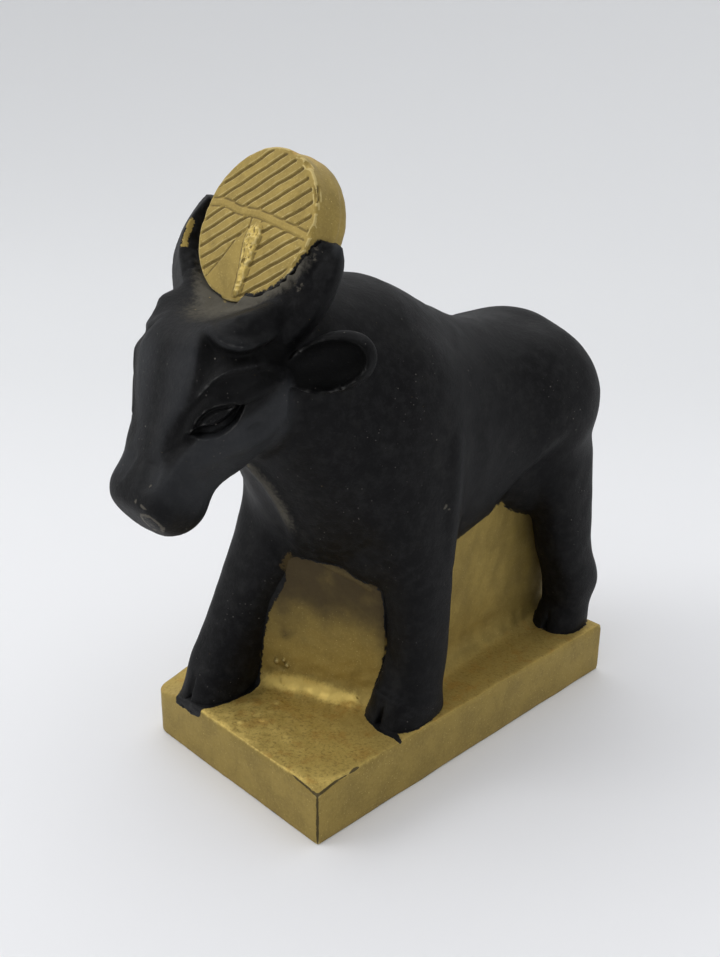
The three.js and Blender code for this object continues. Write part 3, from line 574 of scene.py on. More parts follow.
def sample_grid(field, low_corner, high_corner, cell):
    blocks = np.ceil((np.subtract(high_corner, low_corner)) / (cell * BLOCK)).astype(int)
    block = np.indices(blocks).reshape(3, -1).T
    middles = low_corner + (block * BLOCK + (BLOCK - 1) / 2) * cell
    coarse = field(*middles.T)
    values = coarse.reshape(blocks)
    for axis in range(3):
        values = np.repeat(values, BLOCK, axis)
    near = block[np.abs(coarse) < 1.5 * cell * BLOCK] * BLOCK
    inner = np.indices((BLOCK,) * 3).reshape(3, -1).T
    points = (near[:, None] + inner).reshape(-1, 3)
    values[tuple(points.T)] = field(*(low_corner + points * cell).T)
    return values


# %% The ways a surface can cut one cell
CORNERS = [(n & 1, (n >> 1) & 1, (n >> 2) & 1) for n in range(8)]
EDGES = [(n, n + (1 << axis), axis) for axis in range(3) for n in range(8) if not CORNERS[n][axis]]
FACES = [[e for e, (a, b, _) in enumerate(EDGES) if CORNERS[a][axis] == CORNERS[b][axis] == side]
         for axis in range(3) for side in (0, 1)]


def sheets_of(inside):
    """For one pattern of corners, which sheet of the surface cuts each edge, or -1."""
    cut = [inside[a] != inside[b] for a, b, _ in EDGES]
    sheet = list(range(12))

    def join(a, b):
        old, new = sheet[a], sheet[b]
        for e in range(12):
            if sheet[e] == old:
                sheet[e] = new

    for face in FACES:
        crossed = [e for e in face if cut[e]]
        if len(crossed) == 2:
            join(*crossed)
        if len(crossed) == 4:
            for n in range(8):
                touching = [e for e in crossed if n in EDGES[e][:2]]
                if inside[n] and len(touching) == 2:
                    join(*touching)
    names = sorted({sheet[e] for e in range(12) if cut[e]})
    return [names.index(sheet[e]) if cut[e] else -1 for e in range(12)]


SHEETS = np.array([sheets_of([bool((pattern >> n) & 1) for n in range(8)]) for pattern in range(256)])
SHEET_COUNT = SHEETS.max(axis=1) + 1
print(f"{(SHEET_COUNT == 1).sum()} patterns have one sheet, {(SHEET_COUNT > 1).sum()} have more")


# %% Vertices and faces
def gradient(field, points, step=0.03):
    here = field(*points.T)
    moved = [field(*(points + step * np.eye(3)[axis]).T) - here for axis in range(3)]
    return here, np.stack(moved, 1) / step


def skin(field, low_corner, high_corner, cell):
    """Vertices, and faces of four vertices, over the zero of the field."""
    values = sample_grid(field, low_corner, high_corner, cell)
    inside = values < 0
    cells = np.subtract(inside.shape, 1)
    pattern = np.zeros(cells, np.uint8)
    for n, (i, j, k) in enumerate(CORNERS):
        pattern |= inside[i:i + cells[0], j:j + cells[1], k:k + cells[2]].astype(np.uint8) << n
    counts = SHEET_COUNT[pattern]
    start = np.cumsum(counts).reshape(counts.shape) - counts
    total = int(counts.sum())
    owner = np.repeat(np.flatnonzero(counts), counts[counts > 0])
    cell_low = low_corner + np.stack(np.unravel_index(owner, counts.shape), 1) * cell
    rings, places, facings = [], [], []
    for axis in range(3):
        u, v = (axis + 1) % 3, (axis + 2) % 3
        first = np.delete(inside, -1, axis)
        second = np.delete(inside, 0, axis)
        lower = np.stack(np.nonzero(first != second), 1)
        upper = lower + np.eye(3, dtype=int)[axis]
        begin, end = values[tuple(lower.T)], values[tuple(upper.T)]
        place = low_corner + (lower + np.eye(3)[axis] * (begin / (begin - end))[:, None]) * cell
        value, slope = gradient(field, place)
        place[:, axis] -= np.clip(value / (slope[:, axis] + 1e-9), -0.3 * cell, 0.3 * cell)
        corners = []
        for du, dv in ((0, 0), (1, 0), (1, 1), (0, 1)):
            at = lower - du * np.eye(3, dtype=int)[u] - dv * np.eye(3, dtype=int)[v]
            edge = EDGES.index(next(e for e in EDGES if e[0] == (du << u) + (dv << v) and e[2] == axis))
            corners.append(start[tuple(at.T)] + SHEETS[pattern[tuple(at.T)], edge])
        ring = np.stack(corners, 1)
        ring[values[tuple(lower.T)] >= 0] = ring[values[tuple(lower.T)] >= 0, ::-1]
        rings.append(ring)
        places.append(place)
        facings.append(slope / (np.linalg.norm(slope, axis=1, keepdims=True) + 1e-9))
    rings, places, facings = map(np.concatenate, (rings, places, facings))
    return best_points(total, rings, places, facings, cell_low, cell), rings


def best_points(total, rings, places, facings, cell_low, cell):
    """For each vertex the point nearest to all the surface planes that meet round it."""
    vertex = rings.ravel()
    place = np.repeat(places, 4, axis=0)
    facing = np.repeat(facings, 4, axis=0)

    def added(amounts):
        return np.bincount(vertex, amounts, total)

    number = added(None)
    mean = np.stack([added(place[:, i]) for i in range(3)], 1) / number[:, None]
    offset = (facing * (place - mean[vertex])).sum(1)
    right = np.stack([added(facing[:, i] * offset) for i in range(3)], 1)
    matrix = np.empty((total, 3, 3))
    for i in range(3):
        for j in range(3):
            matrix[:, i, j] = added(facing[:, i] * facing[:, j]) + (i == j) * 0.05 * number
    points = mean + np.linalg.solve(matrix, right[..., None])[..., 0]
    return np.clip(points, cell_low + 0.04 * cell, cell_low + 0.96 * cell)


# %% [markdown]
# ## Finer where it matters
#
# One size of face doesn't suit both a flank and an eyelid. So the faces are cut in
# four wherever a detail asks for it, and then every vertex is moved along the
# steepest way onto the finished surface. The second step also brings in the relief
# that is too fine for the first grid.

# %% Refine and settle
def refine(mesh, level_at):
    """Cuts edges in two, once or twice, where level_at(points) is 1 or 2."""
    for level in (1, 2):
        work = bmesh.new()
        work.from_mesh(mesh)
        points = np.array([v.co for v in work.verts])
        wanted = level_at(points) >= level
        edges = [e for e in work.edges if wanted[e.verts[0].index] and wanted[e.verts[1].index]]
        if edges:
            bmesh.ops.subdivide_edges(work, edges=edges, cuts=1, use_grid_fill=True)
        odd = [f for f in work.faces if len(f.verts) > 4]
        bmesh.ops.triangulate(work, faces=odd)
        work.to_mesh(mesh)
        work.free()


def settle(points, field, reach, rounds=3):
    for _ in range(rounds):
        value, slope = gradient(field, points)
        push = value / np.maximum((slope ** 2).sum(1), 0.25)
        points = points - slope * np.clip(push, -reach, reach)[:, None]
    return points


def piece_from(name, field, finished, box, cell, level_at):
    """A closed mesh piece of the figurine, in metres, with the finished relief."""
    points, faces = skin(field, np.array(box[0], float), np.array(box[1], float), cell)
    mesh = bpy.data.meshes.new(name)
    mesh.from_pydata(points.tolist(), [], faces.tolist())
    refine(mesh, level_at)
    points = np.empty(len(mesh.vertices) * 3)
    mesh.vertices.foreach_get("co", points)
    points = settle(points.reshape(-1, 3), finished, 0.4 * cell)
    mesh.vertices.foreach_set("co", (points * MM).ravel())
    mesh.shade_smooth()
    mesh.update()
    piece = bpy.data.objects.new(name, mesh)
    bpy.context.scene.collection.objects.link(piece)
    triangles = sum(len(p.vertices) - 2 for p in mesh.polygons)
    print(f"{name}: {len(points)} vertices, {triangles} triangles")
    return piece, points


# %% [markdown]
# ## A hand's unevenness
#
# Nothing on a casting of this kind is perfectly smooth. A sum of a few slow waves in
# random directions gives the surface its slight waver, which the eye reads in the
# soft reflections. The seeds are fixed, so every run gives the same casting.

# %% Waver
def ripple(x, y, z, wave, seed, waves=7):
    """Smooth noise of about -1 to 1 whose bumps are about half a wave across."""
    chance = np.random.default_rng(seed)
    total = np.zeros(np.shape(x))
    for _ in range(waves):
        way = chance.normal(size=3)
        way *= 2 * np.pi / (wave * np.linalg.norm(way) * chance.uniform(0.7, 1.5))
        total = total + np.sin(way[0] * x + way[1] * y + way[2] * z + chance.uniform(0, 2 * np.pi))
    return total / np.sqrt(waves / 2) / 1.6


# %% The finished cow
HEAD_BOX_LOW = 42.0


def cow_finish(x, y, z):
    on_head = ramp(-y - 24, 6) * ramp(z - HEAD_BOX_LOW, 6)
    waver = 0.11 * ripple(x, y, z, 11, 1) + 0.035 * ripple(x, y, z, 4, 2)
    tuft = sum(0.35 * bump(to_line(x, y, z, line), 0.6) for line in TUFT_GROOVES)
    by_disc = bump(sun_disc(x, y, z), 3) * ramp(z - 69, 3)
    rough = 0.13 * ripple(x, y, z, 1.3, 10) + 0.1 * ripple(x, y, z, 2.6, 11)
    return cow(x, y, z) + waver * (1 - 0.6 * on_head) + tuft + by_disc * rough


def cow_level(points):
    x, y, z = points.T
    along, out = in_head(y, z)
    face = (np.abs(x) > 3) & (along > 1) & (along < 20) & (out > -12) & (y < -27) & (z > 44)
    eye = (np.abs(x) > 4) & (along > 3.5) & (along < 18.5) & (out > -4) & (y < -30)
    ear = np.abs(ears(x, y, z)) < 0.8
    hoof = (z < BASE_HEIGHT + 5.5) & (z > BASE_HEIGHT - 0.6)
    fold = (flank_fold(x, y, z) > 0.02) & (flank_fold(x, y, z) < 1.9)
    horn_zone = z > 74
    nose = (along > 21) & (out > 1) & (y < -38)
    level = (face | ear | hoof | horn_zone | nose | fold).astype(int)
    level[(eye | nose) & (level > 0)] = 2
    return level


cow_piece, cow_points = piece_from("cow", cow, cow_finish, [(-25.3, -52.2, 6.1), (25, 44, 94)],
                                   0.68, cow_level)

# %% [markdown]
# ## Base and web
#
# The base is a plain block, but a used one: its edges are rubbed, one front corner
# is round, the near corner is knocked down, and the paint on top lies in lumps. A
# crack runs up the soft corner between web and base, beside a pit with crumbs.

# %% The finished stand
WORN_CORNERS = [(1, -1, 0.5), (-1, -1, 3.4), (1, 1, 0.5), (-1, 1, 2.2)]
SUNKEN_CORNERS = [(-21, -35, 11, 2.1), (20.6, -35, 5, 0.8)]
CRACK = [(7.2, -16.6, 9.3), (8.3, -15.8, 9.9), (8.9, -15.4, 11.2), (9.4, -14.9, 12.9)]
PAINT_FLAP = [(-0.6, -19.8, 32.6), (1.6, -18.7, 32.6), (4.4, -17.2, 31.4), (7.5, -15.6, 30.2), (9.8, -14.5, 29)]
PITS = [(-3.4, -21, 12.6, 0.75), (5.2, -16.7, 12.4, 0.35), (-1.6, -20.1, 13.4, 0.3)]
CRUMBS = [(-2.5, -20.6, 13.1, 0.55), (-4.1, -21.4, 13.5, 0.6), (-3, -20.8, 13.9, 0.4), (1.3, -18.7, 17.9, 0.5)]


def worn_stand(x, y, z):
    sunken = sum(depth * bump(np.hypot(x - cx, y - cy), reach) for cx, cy, reach, depth in SUNKEN_CORNERS)
    d = np.maximum(stand(x, y, z + sunken), -z)
    for side_x, side_y, radius in WORN_CORNERS:
        inner_x = np.maximum(side_x * x - (BASE["width"] / 2 - radius), 0)
        inner_y = np.maximum(side_y * y - (BASE["length"] / 2 - radius), 0)
        d = np.maximum(d, np.hypot(inner_x, inner_y) - radius)
    return d


def to_base_edges(x, y, z):
    """Distance to the top edges and to the bottom edges of the base."""
    beside = np.maximum(np.abs(x) - BASE["width"] / 2, np.abs(y) - BASE["length"] / 2)
    return np.hypot(beside, z - BASE_HEIGHT), np.hypot(beside, z)


def stand_finish(x, y, z):
    top_edge, bottom_edge = to_base_edges(x, y, z)
    slow = ripple(x, y, z, 12, 3)
    quick = ripple(x, y, z, 2.6, 4)
    rubbed = 0.2 * bump(top_edge, 1) * (0.7 + 0.5 * ripple(x, y, z, 5, 5))
    rubbed = rubbed + 0.1 * bump(bottom_edge, 0.8)
    upper = ramp(z - BASE_HEIGHT + 0.3, 0.8)
    waver = (0.03 + 0.09 * upper) * slow + (0.008 + 0.05 * upper) * quick
    marks = 0.3 * bump(to_line(x, y, z, CRACK), 0.35)
    for px, py, pz, size in PITS:
        marks = marks + 0.7 * size * bump(length3(x - px, y - py, z - pz), size)
    for px, py, pz, size in CRUMBS:
        marks = marks - 0.6 * size * bump(length3(x - px, y - py, z - pz), size)
    daubs = 0.14 * np.clip(ripple(x, y, z, 2.4, 12) - 0.7, 0, 1) + 0.035 * ripple(x, y, z, 4, 15)
    daubs = daubs + 0.018 * ripple(x, y, z, 1.3, 13)
    daubs = daubs * ramp(z - BASE_HEIGHT + 0.5, 0.8) * ramp(-17 - y, 6) * ramp(BASE_HEIGHT + 3 - z, 3)
    flap = 0.4 * bump(to_line(x, y, z, PAINT_FLAP), 0.6)
    return np.maximum(worn_stand(x, y, z) + rubbed + waver + marks - daubs - flap, -z)


def stand_level(points):
    x, y, z = points.T
    top_edge, bottom_edge = to_base_edges(x, y, z)
    edge = (np.minimum(top_edge, bottom_edge) < 1.3)
    upright = (np.abs(x) > BASE["width"] / 2 - 3.6) & (np.abs(y) > BASE["length"] / 2 - 3.6)
    front_foot = (z > BASE_HEIGHT - 0.5) & (z < 15.5) & (y < -12) & (x > -6) & (x < 12)
    marked = front_foot & (np.minimum(to_line(x, y, z, CRACK), to_line(x, y, z, [PITS[0], CRUMBS[1]])) < 1.6)
    level = (edge | upright | front_foot).astype(int)
    level[marked | (front_foot & (z < BASE_HEIGHT + 1.5) & (y < -17))] = 2
    level[(level == 0) & (to_line(x, y, z, PAINT_FLAP) < 1.5)] = 1
    return level


stand_piece, stand_points = piece_from("base_and_web", worn_stand, stand_finish, [(-22.3, -36.2, -1.9), (22, 36, 40)],
                                       0.7, stand_level)

# %% [markdown]
# ## Sun disc
#
# The front of the disc is cut with slanting grooves. A plain curved strip crosses
# them, and below it a rough raised ridge runs down to the foot, with a smooth
# three-sided field on its left. The grooves are one formula: the distance to the
# nearest of a set of even lines, which wander a little as a hand-held tool does.

# %% The finished disc
GROOVE_SLANT = np.radians(31)
GROOVE_PITCH = 1.78
GROOVE_START = -0.03
GROOVE_DEPTH = 0.28
GROOVE_HALF_WIDTH = 0.3
strip_at = smooth_curve([(-11, 2.2), (-7, 2.2), (-4, 1.5), (0, 1.25), (4, 0.5), (8, -0.3), (11, -1)])
ridge_at = smooth_curve([(-10.5, 0.8), (-6, 0.7), (-3, 0.5), (-0.5, 0.6)])
ridge_width_at = smooth_curve([(-10.5, 0.4), (-6, 0.8), (-3, 1.25), (-1, 1.25), (0.2, 0.5)])
field_edge_at = smooth_curve([(-9, -7.8), (-5, -4.6), (-1.6, -2.2), (-0.6, -1)])


def disc_pattern(x, up):
    wander = 0.035 * np.sin(0.4 * x + 1.9 * up) + 0.02 * np.sin(1.1 * x - 0.8 * up + 1)
    across = up * np.cos(GROOVE_SLANT) - x * np.sin(GROOVE_SLANT) + wander
    turn = (across - GROOVE_START) / GROOVE_PITCH
    groove = np.clip(1.15 - np.abs(turn - np.round(turn)) * GROOVE_PITCH / GROOVE_HALF_WIDTH, 0, 1)
    from_strip = up - strip_at(x)
    above = ramp(from_strip - 0.75, 0.3)
    below = ramp(-from_strip - 0.55, 0.3)
    left = ramp(field_edge_at(up) - x, 0.4)
    right = ramp(x - ridge_at(up) - ridge_width_at(up), 0.4)
    rim = 0.3 + 0.55 * ramp(x, 8)
    on_face = ramp(-rim - section(x, up, DISC["half_width"], DISC["half_height"], 2), 0.5)
    lines = 0.09 * bump(from_strip - 0.66, 0.3) + 0.08 * bump(from_strip + 0.45, 0.3)
    lines = lines + 0.1 * bump(x - field_edge_at(up), 0.35) * below
    beside_ridge = np.abs(x - ridge_at(up)) - ridge_width_at(up)
    ridge = ramp(-beside_ridge, 0.8) * ramp(-0.1 - up, 0.8)
    return on_face * (GROOVE_DEPTH * groove * (above + below * (left + right)) + lines), ridge * on_face


def disc_finish(x, y, z):
    up, out = in_disc_plane(y, z)
    cut, ridge = disc_pattern(x, up)
    face = ramp(out + 0.9, 0.8)
    rough = 0.5 + 0.3 * ripple(x, up, out, 1.1, 6) + 0.3 * ripple(x, up, out, 0.6, 14)
    waver = 0.04 * ripple(x, y, z, 7, 7) + 0.02 * ripple(x, y, z, 1.7, 8)
    rim = bump(np.hypot(section(x, up, DISC["half_width"], DISC["half_height"], 2), out), 0.7)
    chips = 0.45 * rim * np.clip(ripple(x, y, z, 2.2, 9), 0, 1) * ramp(x - 3, 5)
    return sun_disc(x, y, z) + face * (cut - ridge * (0.28 + 0.28 * rough)) + waver + chips


def disc_level(points):
    x, y, z = points.T
    up, out = in_disc_plane(y, z)
    level = np.where(out > -1.2, 2, 0)
    return np.where((out <= -1.2) & (out > -5), 1, level)


disc_piece, disc_points = piece_from("sun_disc", sun_disc, disc_finish, [(-13.3, -36.2, 67.2), (13, -14, 93)],
                                     0.42, disc_level)

# %% [markdown]
# ## Places where the paint changes
#
# A material can't know where another piece is, or where an edge sticks out. So each
# vertex is told: how far it is from the other paint, how sharply the surface crests
# there, whether dust gathers on it, and where light or shade is painted on. The shader
# turns these plain numbers into ragged paint edges and wear, and into painted
# highlights and painted shade.

# %% Numbers on the vertices
POLL = (0, -33, 72.5)
HORN_SCRAPES = [[(11.1, -26, 79.5), (11.5, -26.8, 78.2)], [(11.1, -28.4, 75.1), (10.6, -28.9, 74.2)]]
HORN_EDGE = [(13.3, -24.6, 79.8), (13.7, -24.7, 77), (13.5, -24.5, 74.4), (12.7, -25.3, 71.3)]
SHOULDER_SCRATCH = [(17.7, -7.7, 42.6), (17.9, -7, 41.5)]
SMEARS = [([(-14.2, -26.6, 80.7), (-13.4, -28.4, 77.4)], 0.9), ([(-2.1, -19.9, 32.2), (-2.5, -20.6, 30.4)], 1.5)]
SCRAPES = [[(3.2, 26.6, 4.2), (4.4, 26.8, 3.6)], [(0.8, 27.2, 4.6), (1.9, 28.1, 4)]]
SCRATCHES = [[(3.4, 23.9, 3.8), (3, 24.9, 3.9)], [(2.4, 25.4, 4.3), (2, 26.4, 4.3)]]
WORN_ROUND = (3.6, 28.8, 2.3, 1.8)
BARE_EDGES = [[(19.9, -34.3, 8.3), (19.9, -34.3, 0.2)], [(19.9, -34.3, 8.3), (19.9, -31, 8.8), (19.9, -26, 9)],
              [(19.9, -34.3, 8.3), (14, -34.3, 8.9)], [(19.9, -20, 9), (19.9, -16, 9)],
              [(9.5, -34.4, 9.1), (10.6, -34.4, 9.1)], [(10, -34.4, 0.1), (11, -34.4, 0.1)]]


def store(piece, name, values):
    attribute = piece.data.attributes.new(name, "FLOAT", "POINT")
    attribute.data.foreach_set("value", np.asarray(values, np.float32))


def normals_of(piece):
    normals = np.empty(len(piece.data.vertices) * 3)
    piece.data.vertices.foreach_get("normal", normals)
    return normals.reshape(-1, 3)


def crest_of(piece, points):
    """How sharply the surface bends outwards at each vertex, in parts of a millimetre."""
    mesh = piece.data
    edges = np.empty(len(mesh.edges) * 2, int)
    mesh.edges.foreach_get("vertices", edges)
    a, b = edges.reshape(-1, 2).T
    normals = normals_of(piece)
    count = len(points)
    degree = np.bincount(a, None, count) + np.bincount(b, None, count)

    def around(values):
        return (np.bincount(a, values[b], count) + np.bincount(b, values[a], count)) / degree

    mean = np.stack([around(points[:, i]) for i in range(3)], 1)
    span = ((points[a] - points[b]) ** 2).sum(1)
    span = (np.bincount(a, span, count) + np.bincount(b, span, count)) / degree
    crest = ((points - mean) * normals).sum(1) / span
    for _ in range(3):
        crest = 0.5 * crest + 0.5 * around(crest)
    return crest


def mark(piece, points, **numbers):
    """Stores named numbers on the vertices, each worked out from the vertices' places."""
    crest = crest_of(piece, points)
    store(piece, "crest", crest)
    store(piece, "level", normals_of(piece)[:, 2])
    for name, amount in numbers.items():
        store(piece, name, amount(*points.T))
    print(f"{piece.name}: crest from {np.percentile(crest, 1):.2f} to {np.percentile(crest, 99):.2f}")


def to_gold(x, y, z):
    return np.minimum(worn_stand(x, y, z), sun_disc(x, y, z))


def cow_dust(x, y, z):
    on_poll = bump(length3(x, (y - POLL[1]) * 1.1, (z - POLL[2]) * 0.8), 9)
    by_disc = bump(sun_disc(x, y, z), 2.2) * ramp(POLL[2] + 6 - z, 8)
    chest = 0.75 * bump(to_line(x, y, z, DEWLAP), 2.6) * ramp(z - 38, 6)
    return np.clip(0.9 * on_poll + by_disc + chest, 0, 1)


def cow_scraped(x, y, z):
    """Where the black is scraped: round the nostril, on the horn's front and on the shoulder."""
    along, out = in_head(y, z)
    scrapes = [bump(to_line(x, along, out, line), 0.38) for line in SCRAPES + SCRATCHES]
    middle = length3(x - WORN_ROUND[0], along - WORN_ROUND[1], out - WORN_ROUND[2])
    rounded = 0.55 * bump(middle - WORN_ROUND[3], 0.45) + 0.32 * ramp(WORN_ROUND[3] - middle, 0.4)
    on_horn = [0.55 * bump(to_line(x, y, z, line), 0.7) for line in HORN_SCRAPES]
    scratch = bump(to_line(x, y, z, SHOULDER_SCRATCH), 0.35)
    return np.maximum.reduce([*scrapes, *on_horn, rounded, scratch])


def smeared(x, y, z):
    return np.max([bump(to_line(x, y, z, line), width) for line, width in SMEARS], axis=0)


SPILLS = [([(-5, -22, 11), (-3.6, -21, 22), (-2.9, -20.6, 27)], 2.2, 0.6),
          ([(-7.5, -33, 9), (-7, -24, 9)], 2.6, 1.2),
          ([(9.5, -12.6, 9), (12.5, -15.6, 9), (17, -18, 9)], 1.8, 1),
          ([(17.5, -17.5, 9), (20, -18, 9)], 0.7, 3),
          ([(-12.7, -33.8, 8.9), (-9.5, -34, 8.8), (-7.4, -34.3, 8.6)], 1.1, 3)]


def to_black(x, y, z):
    """Distance to the black paint, which was spilt over the gold beside some of the hooves."""
    spilt = [depth * bump(to_line(x, y, z, line), width) for line, width, depth in SPILLS]
    return cow(x, y, z) - np.maximum.reduce(spilt) + 1.5 * smeared(x, y, z)


def bare(x, y, z):
    return np.max([bump(to_line(x, y, z, line), 0.36) for line in BARE_EDGES], axis=0)


def thin_gold(x, y, z):
    """Where the gold is painted dark brown as painted shade: on the web's front up under the chest, darker towards
    the top.
    """
    return ramp(z - 21, 18) * ramp(-y - 11, 3) * ramp(42 - z, 4)


def handled(x, y, z):
    """Above zero where the black is painted lighter grey: on the sides of the face, and as a painted highlight along
    the foreleg's ridge and the horn's outer edge. Below zero where it is painted near-black as painted shade: in the
    eye socket and in the ear's hollow.
    """
    along, out = in_head(y, z)
    side = np.abs(x)
    turn = np.degrees(np.arctan2(side, out + 3))
    on_head = ramp(-29 - y, 4) * ramp(out + 11, 5)
    # The eye socket is painted darker as painted shade.
    socket = on_head * ramp(eye_socket(turn, along) - 0.3, 0.6)
    face = on_head * ramp(side - 2, 9) * ramp(along - 5, 8) * ramp(25 - along, 6)
    # Painted highlights along the foreleg's ridge and the horn's outer edge.
    edge = 0.7 * bump(to_line(side, y, z, FORELEG_RIDGE), 2.2) + 0.8 * bump(to_line(side, y, z, HORN_EDGE), 1.1)
    # The ear's hollow is painted darker as painted shade.
    ear = in_ear(x, y, z)
    in_hollow = ramp(0.2 - ear_hollow(*ear), 0.8) * ramp(ear[0] + 5.2, 1)
    return np.maximum(face, edge) - 1.35 * socket - 1.6 * in_hollow


def fresh_gold(x, y, z):
    """Where the gold is painted brighter: a painted highlight along the web's foot and on the raised paint edge at
    its top, and thick fresh paint on the front of the base.
    """
    # A painted highlight along the web's foot.
    foot = bump(to_line(x, y, z, [(-4.5, -22.7, 10.4), (0, -20.1, 10.5), (8, -16.9, 10)]), 2.3)
    daubs = 0.5 * ramp(-22 - y, 8) * ramp(z - BASE_HEIGHT + 0.4, 0.6) * ramp(12 - z, 3)
    # A painted highlight on the raised paint edge at the web's top.
    flap = bump(to_line(x, y, z, PAINT_FLAP), 0.8)
    return np.maximum.reduce([foot, daubs, flap])


def fresh_ridge(x, y, z):
    up, out = in_disc_plane(y, z)
    return 0.55 * disc_pattern(x, up)[1] * ramp(out + 0.9, 0.8)


# Among these numbers are painted highlights and painted shade: on the cow's ridges and hollows, under the chest, and
# along the web's foot.
mark(cow_piece, cow_points, to_other_paint=to_gold, dust=cow_dust, scraped=cow_scraped, smear=smeared,
     handled=handled, thin=thin_gold)
mark(stand_piece, stand_points, to_other_paint=to_black, bare=bare, thin=thin_gold, fresh=fresh_gold)
mark(disc_piece, disc_points, to_other_paint=cow, fresh=fresh_ridge)

# %% [markdown]
# ## A way to write shaders as sums
#
# Shader nodes are arithmetic drawn as boxes. A wire between two boxes is wrapped
# here so that it can be added and multiplied in Python, and each sum adds its own
# node. Places and other vectors use Vector Math, and colours are joined by Mix.

# %% Wires and paint
MIX_COLOUR = {"factor": 0, "first": 6, "second": 7, "result": 2}


class Wire:
    """One output of a shader node, which takes part in sums like a number."""

    def __init__(self, paint, socket):
        self.paint = paint
        self.socket = socket

    def combine(self, operation, first, second):
        kind = "ShaderNodeVectorMath" if self.socket.type == "VECTOR" else "ShaderNodeMath"
        return self.paint.node(kind, {"operation": operation}, {0: first, 1: second})

    def __add__(self, other):
        return self.combine("ADD", self, other)

    def __sub__(self, other):
        return self.combine("SUBTRACT", self, other)

    def __rsub__(self, other):
        return self.combine("SUBTRACT", other, self)

    def __mul__(self, other):
        return self.combine("MULTIPLY", self, other)

    def at_most(self, other):
        return self.combine("MINIMUM", self, other)

    def at_least(self, other):
        return self.combine("MAXIMUM", self, other)

    def rises(self, start, end):
        """0 where this is below start, 1 above end, and smooth between; end may be the lower."""
        return self.paint.node("ShaderNodeMapRange", {"interpolation_type": "SMOOTHSTEP"},
                               {"Value": self, "From Min": start, "From Max": end})

    __radd__ = __add__
    __rmul__ = __mul__


class Paint:
    """The nodes of a material, or of the room's light, written one after the other."""

    def __init__(self, owner):
        owner.use_nodes = True
        self.owner = owner
        self.tree = owner.node_tree
        self.tree.nodes.clear()

    def node(self, kind, settings=None, inputs=None, output=0):
        made = self.tree.nodes.new(kind)
        for name, value in (settings or {}).items():
            setattr(made, name, value)
        for key, value in (inputs or {}).items():
            socket = made.inputs[key]
            if isinstance(value, Wire):
                self.tree.links.new(value.socket, socket)
            elif socket.type == "VECTOR" and np.isscalar(value):
                socket.default_value = (value,) * 3
            else:
                socket.default_value = value
        return Wire(self, made.outputs[output]) if made.outputs else None

    def place(self):
        """The point on the surface, in drawing millimetres."""
        point = self.node("ShaderNodeTexCoord", output="Object")
        return point * (1 / MM)

    def along(self, place, way):
        """How far a place lies in one direction."""
        return self.node("ShaderNodeVectorMath", {"operation": "DOT_PRODUCT"}, {0: place, 1: way}, "Value")

    def number(self, name):
        return self.node("ShaderNodeAttribute", {"attribute_name": name}, output="Fac")

    def cloud(self, place, size, detail=2.0, harsh=0.5, stretch=(1, 1, 1)):
        """Noise from 0 to 1 whose patches are about the given size."""
        return self.node("ShaderNodeTexNoise", {}, {"Vector": place * stretch, "Scale": 1 / size,
                                                    "Detail": detail, "Roughness": harsh})

    def mix(self, factor, first, second):
        return self.node("ShaderNodeMix", {"data_type": "RGBA"},
                         {MIX_COLOUR["factor"]: factor, MIX_COLOUR["first"]: first,
                          MIX_COLOUR["second"]: second}, MIX_COLOUR["result"])

    def blend(self, factor, first, second):
        return self.node("ShaderNodeMix", {"data_type": "FLOAT"}, {0: factor, 2: first, 3: second})


def shade(red, green, blue):
    """A paint colour as it is read off a swatch, from 0 to 255, made linear for the renderer."""
    swatch = np.array([red, green, blue]) / 255
    linear = np.where(swatch < 0.04045, swatch / 12.92, ((swatch + 0.055) / 1.055) ** 2.4)
    return (*linear.tolist(), 1.0)


# %% [markdown]
# ## Black paint
#
# The black is a thin satin coat over a rough casting. It is painted slightly grey on
# the sides of the face, with a painted highlight along the foreleg's ridge and the
# horn's outer edge, and near-black as painted shade in creases, in the eye socket and
# in the ear's hollow. Pale specks of dust cling to the back, and brown-grey dust lies
# on the poll round the foot of the disc.

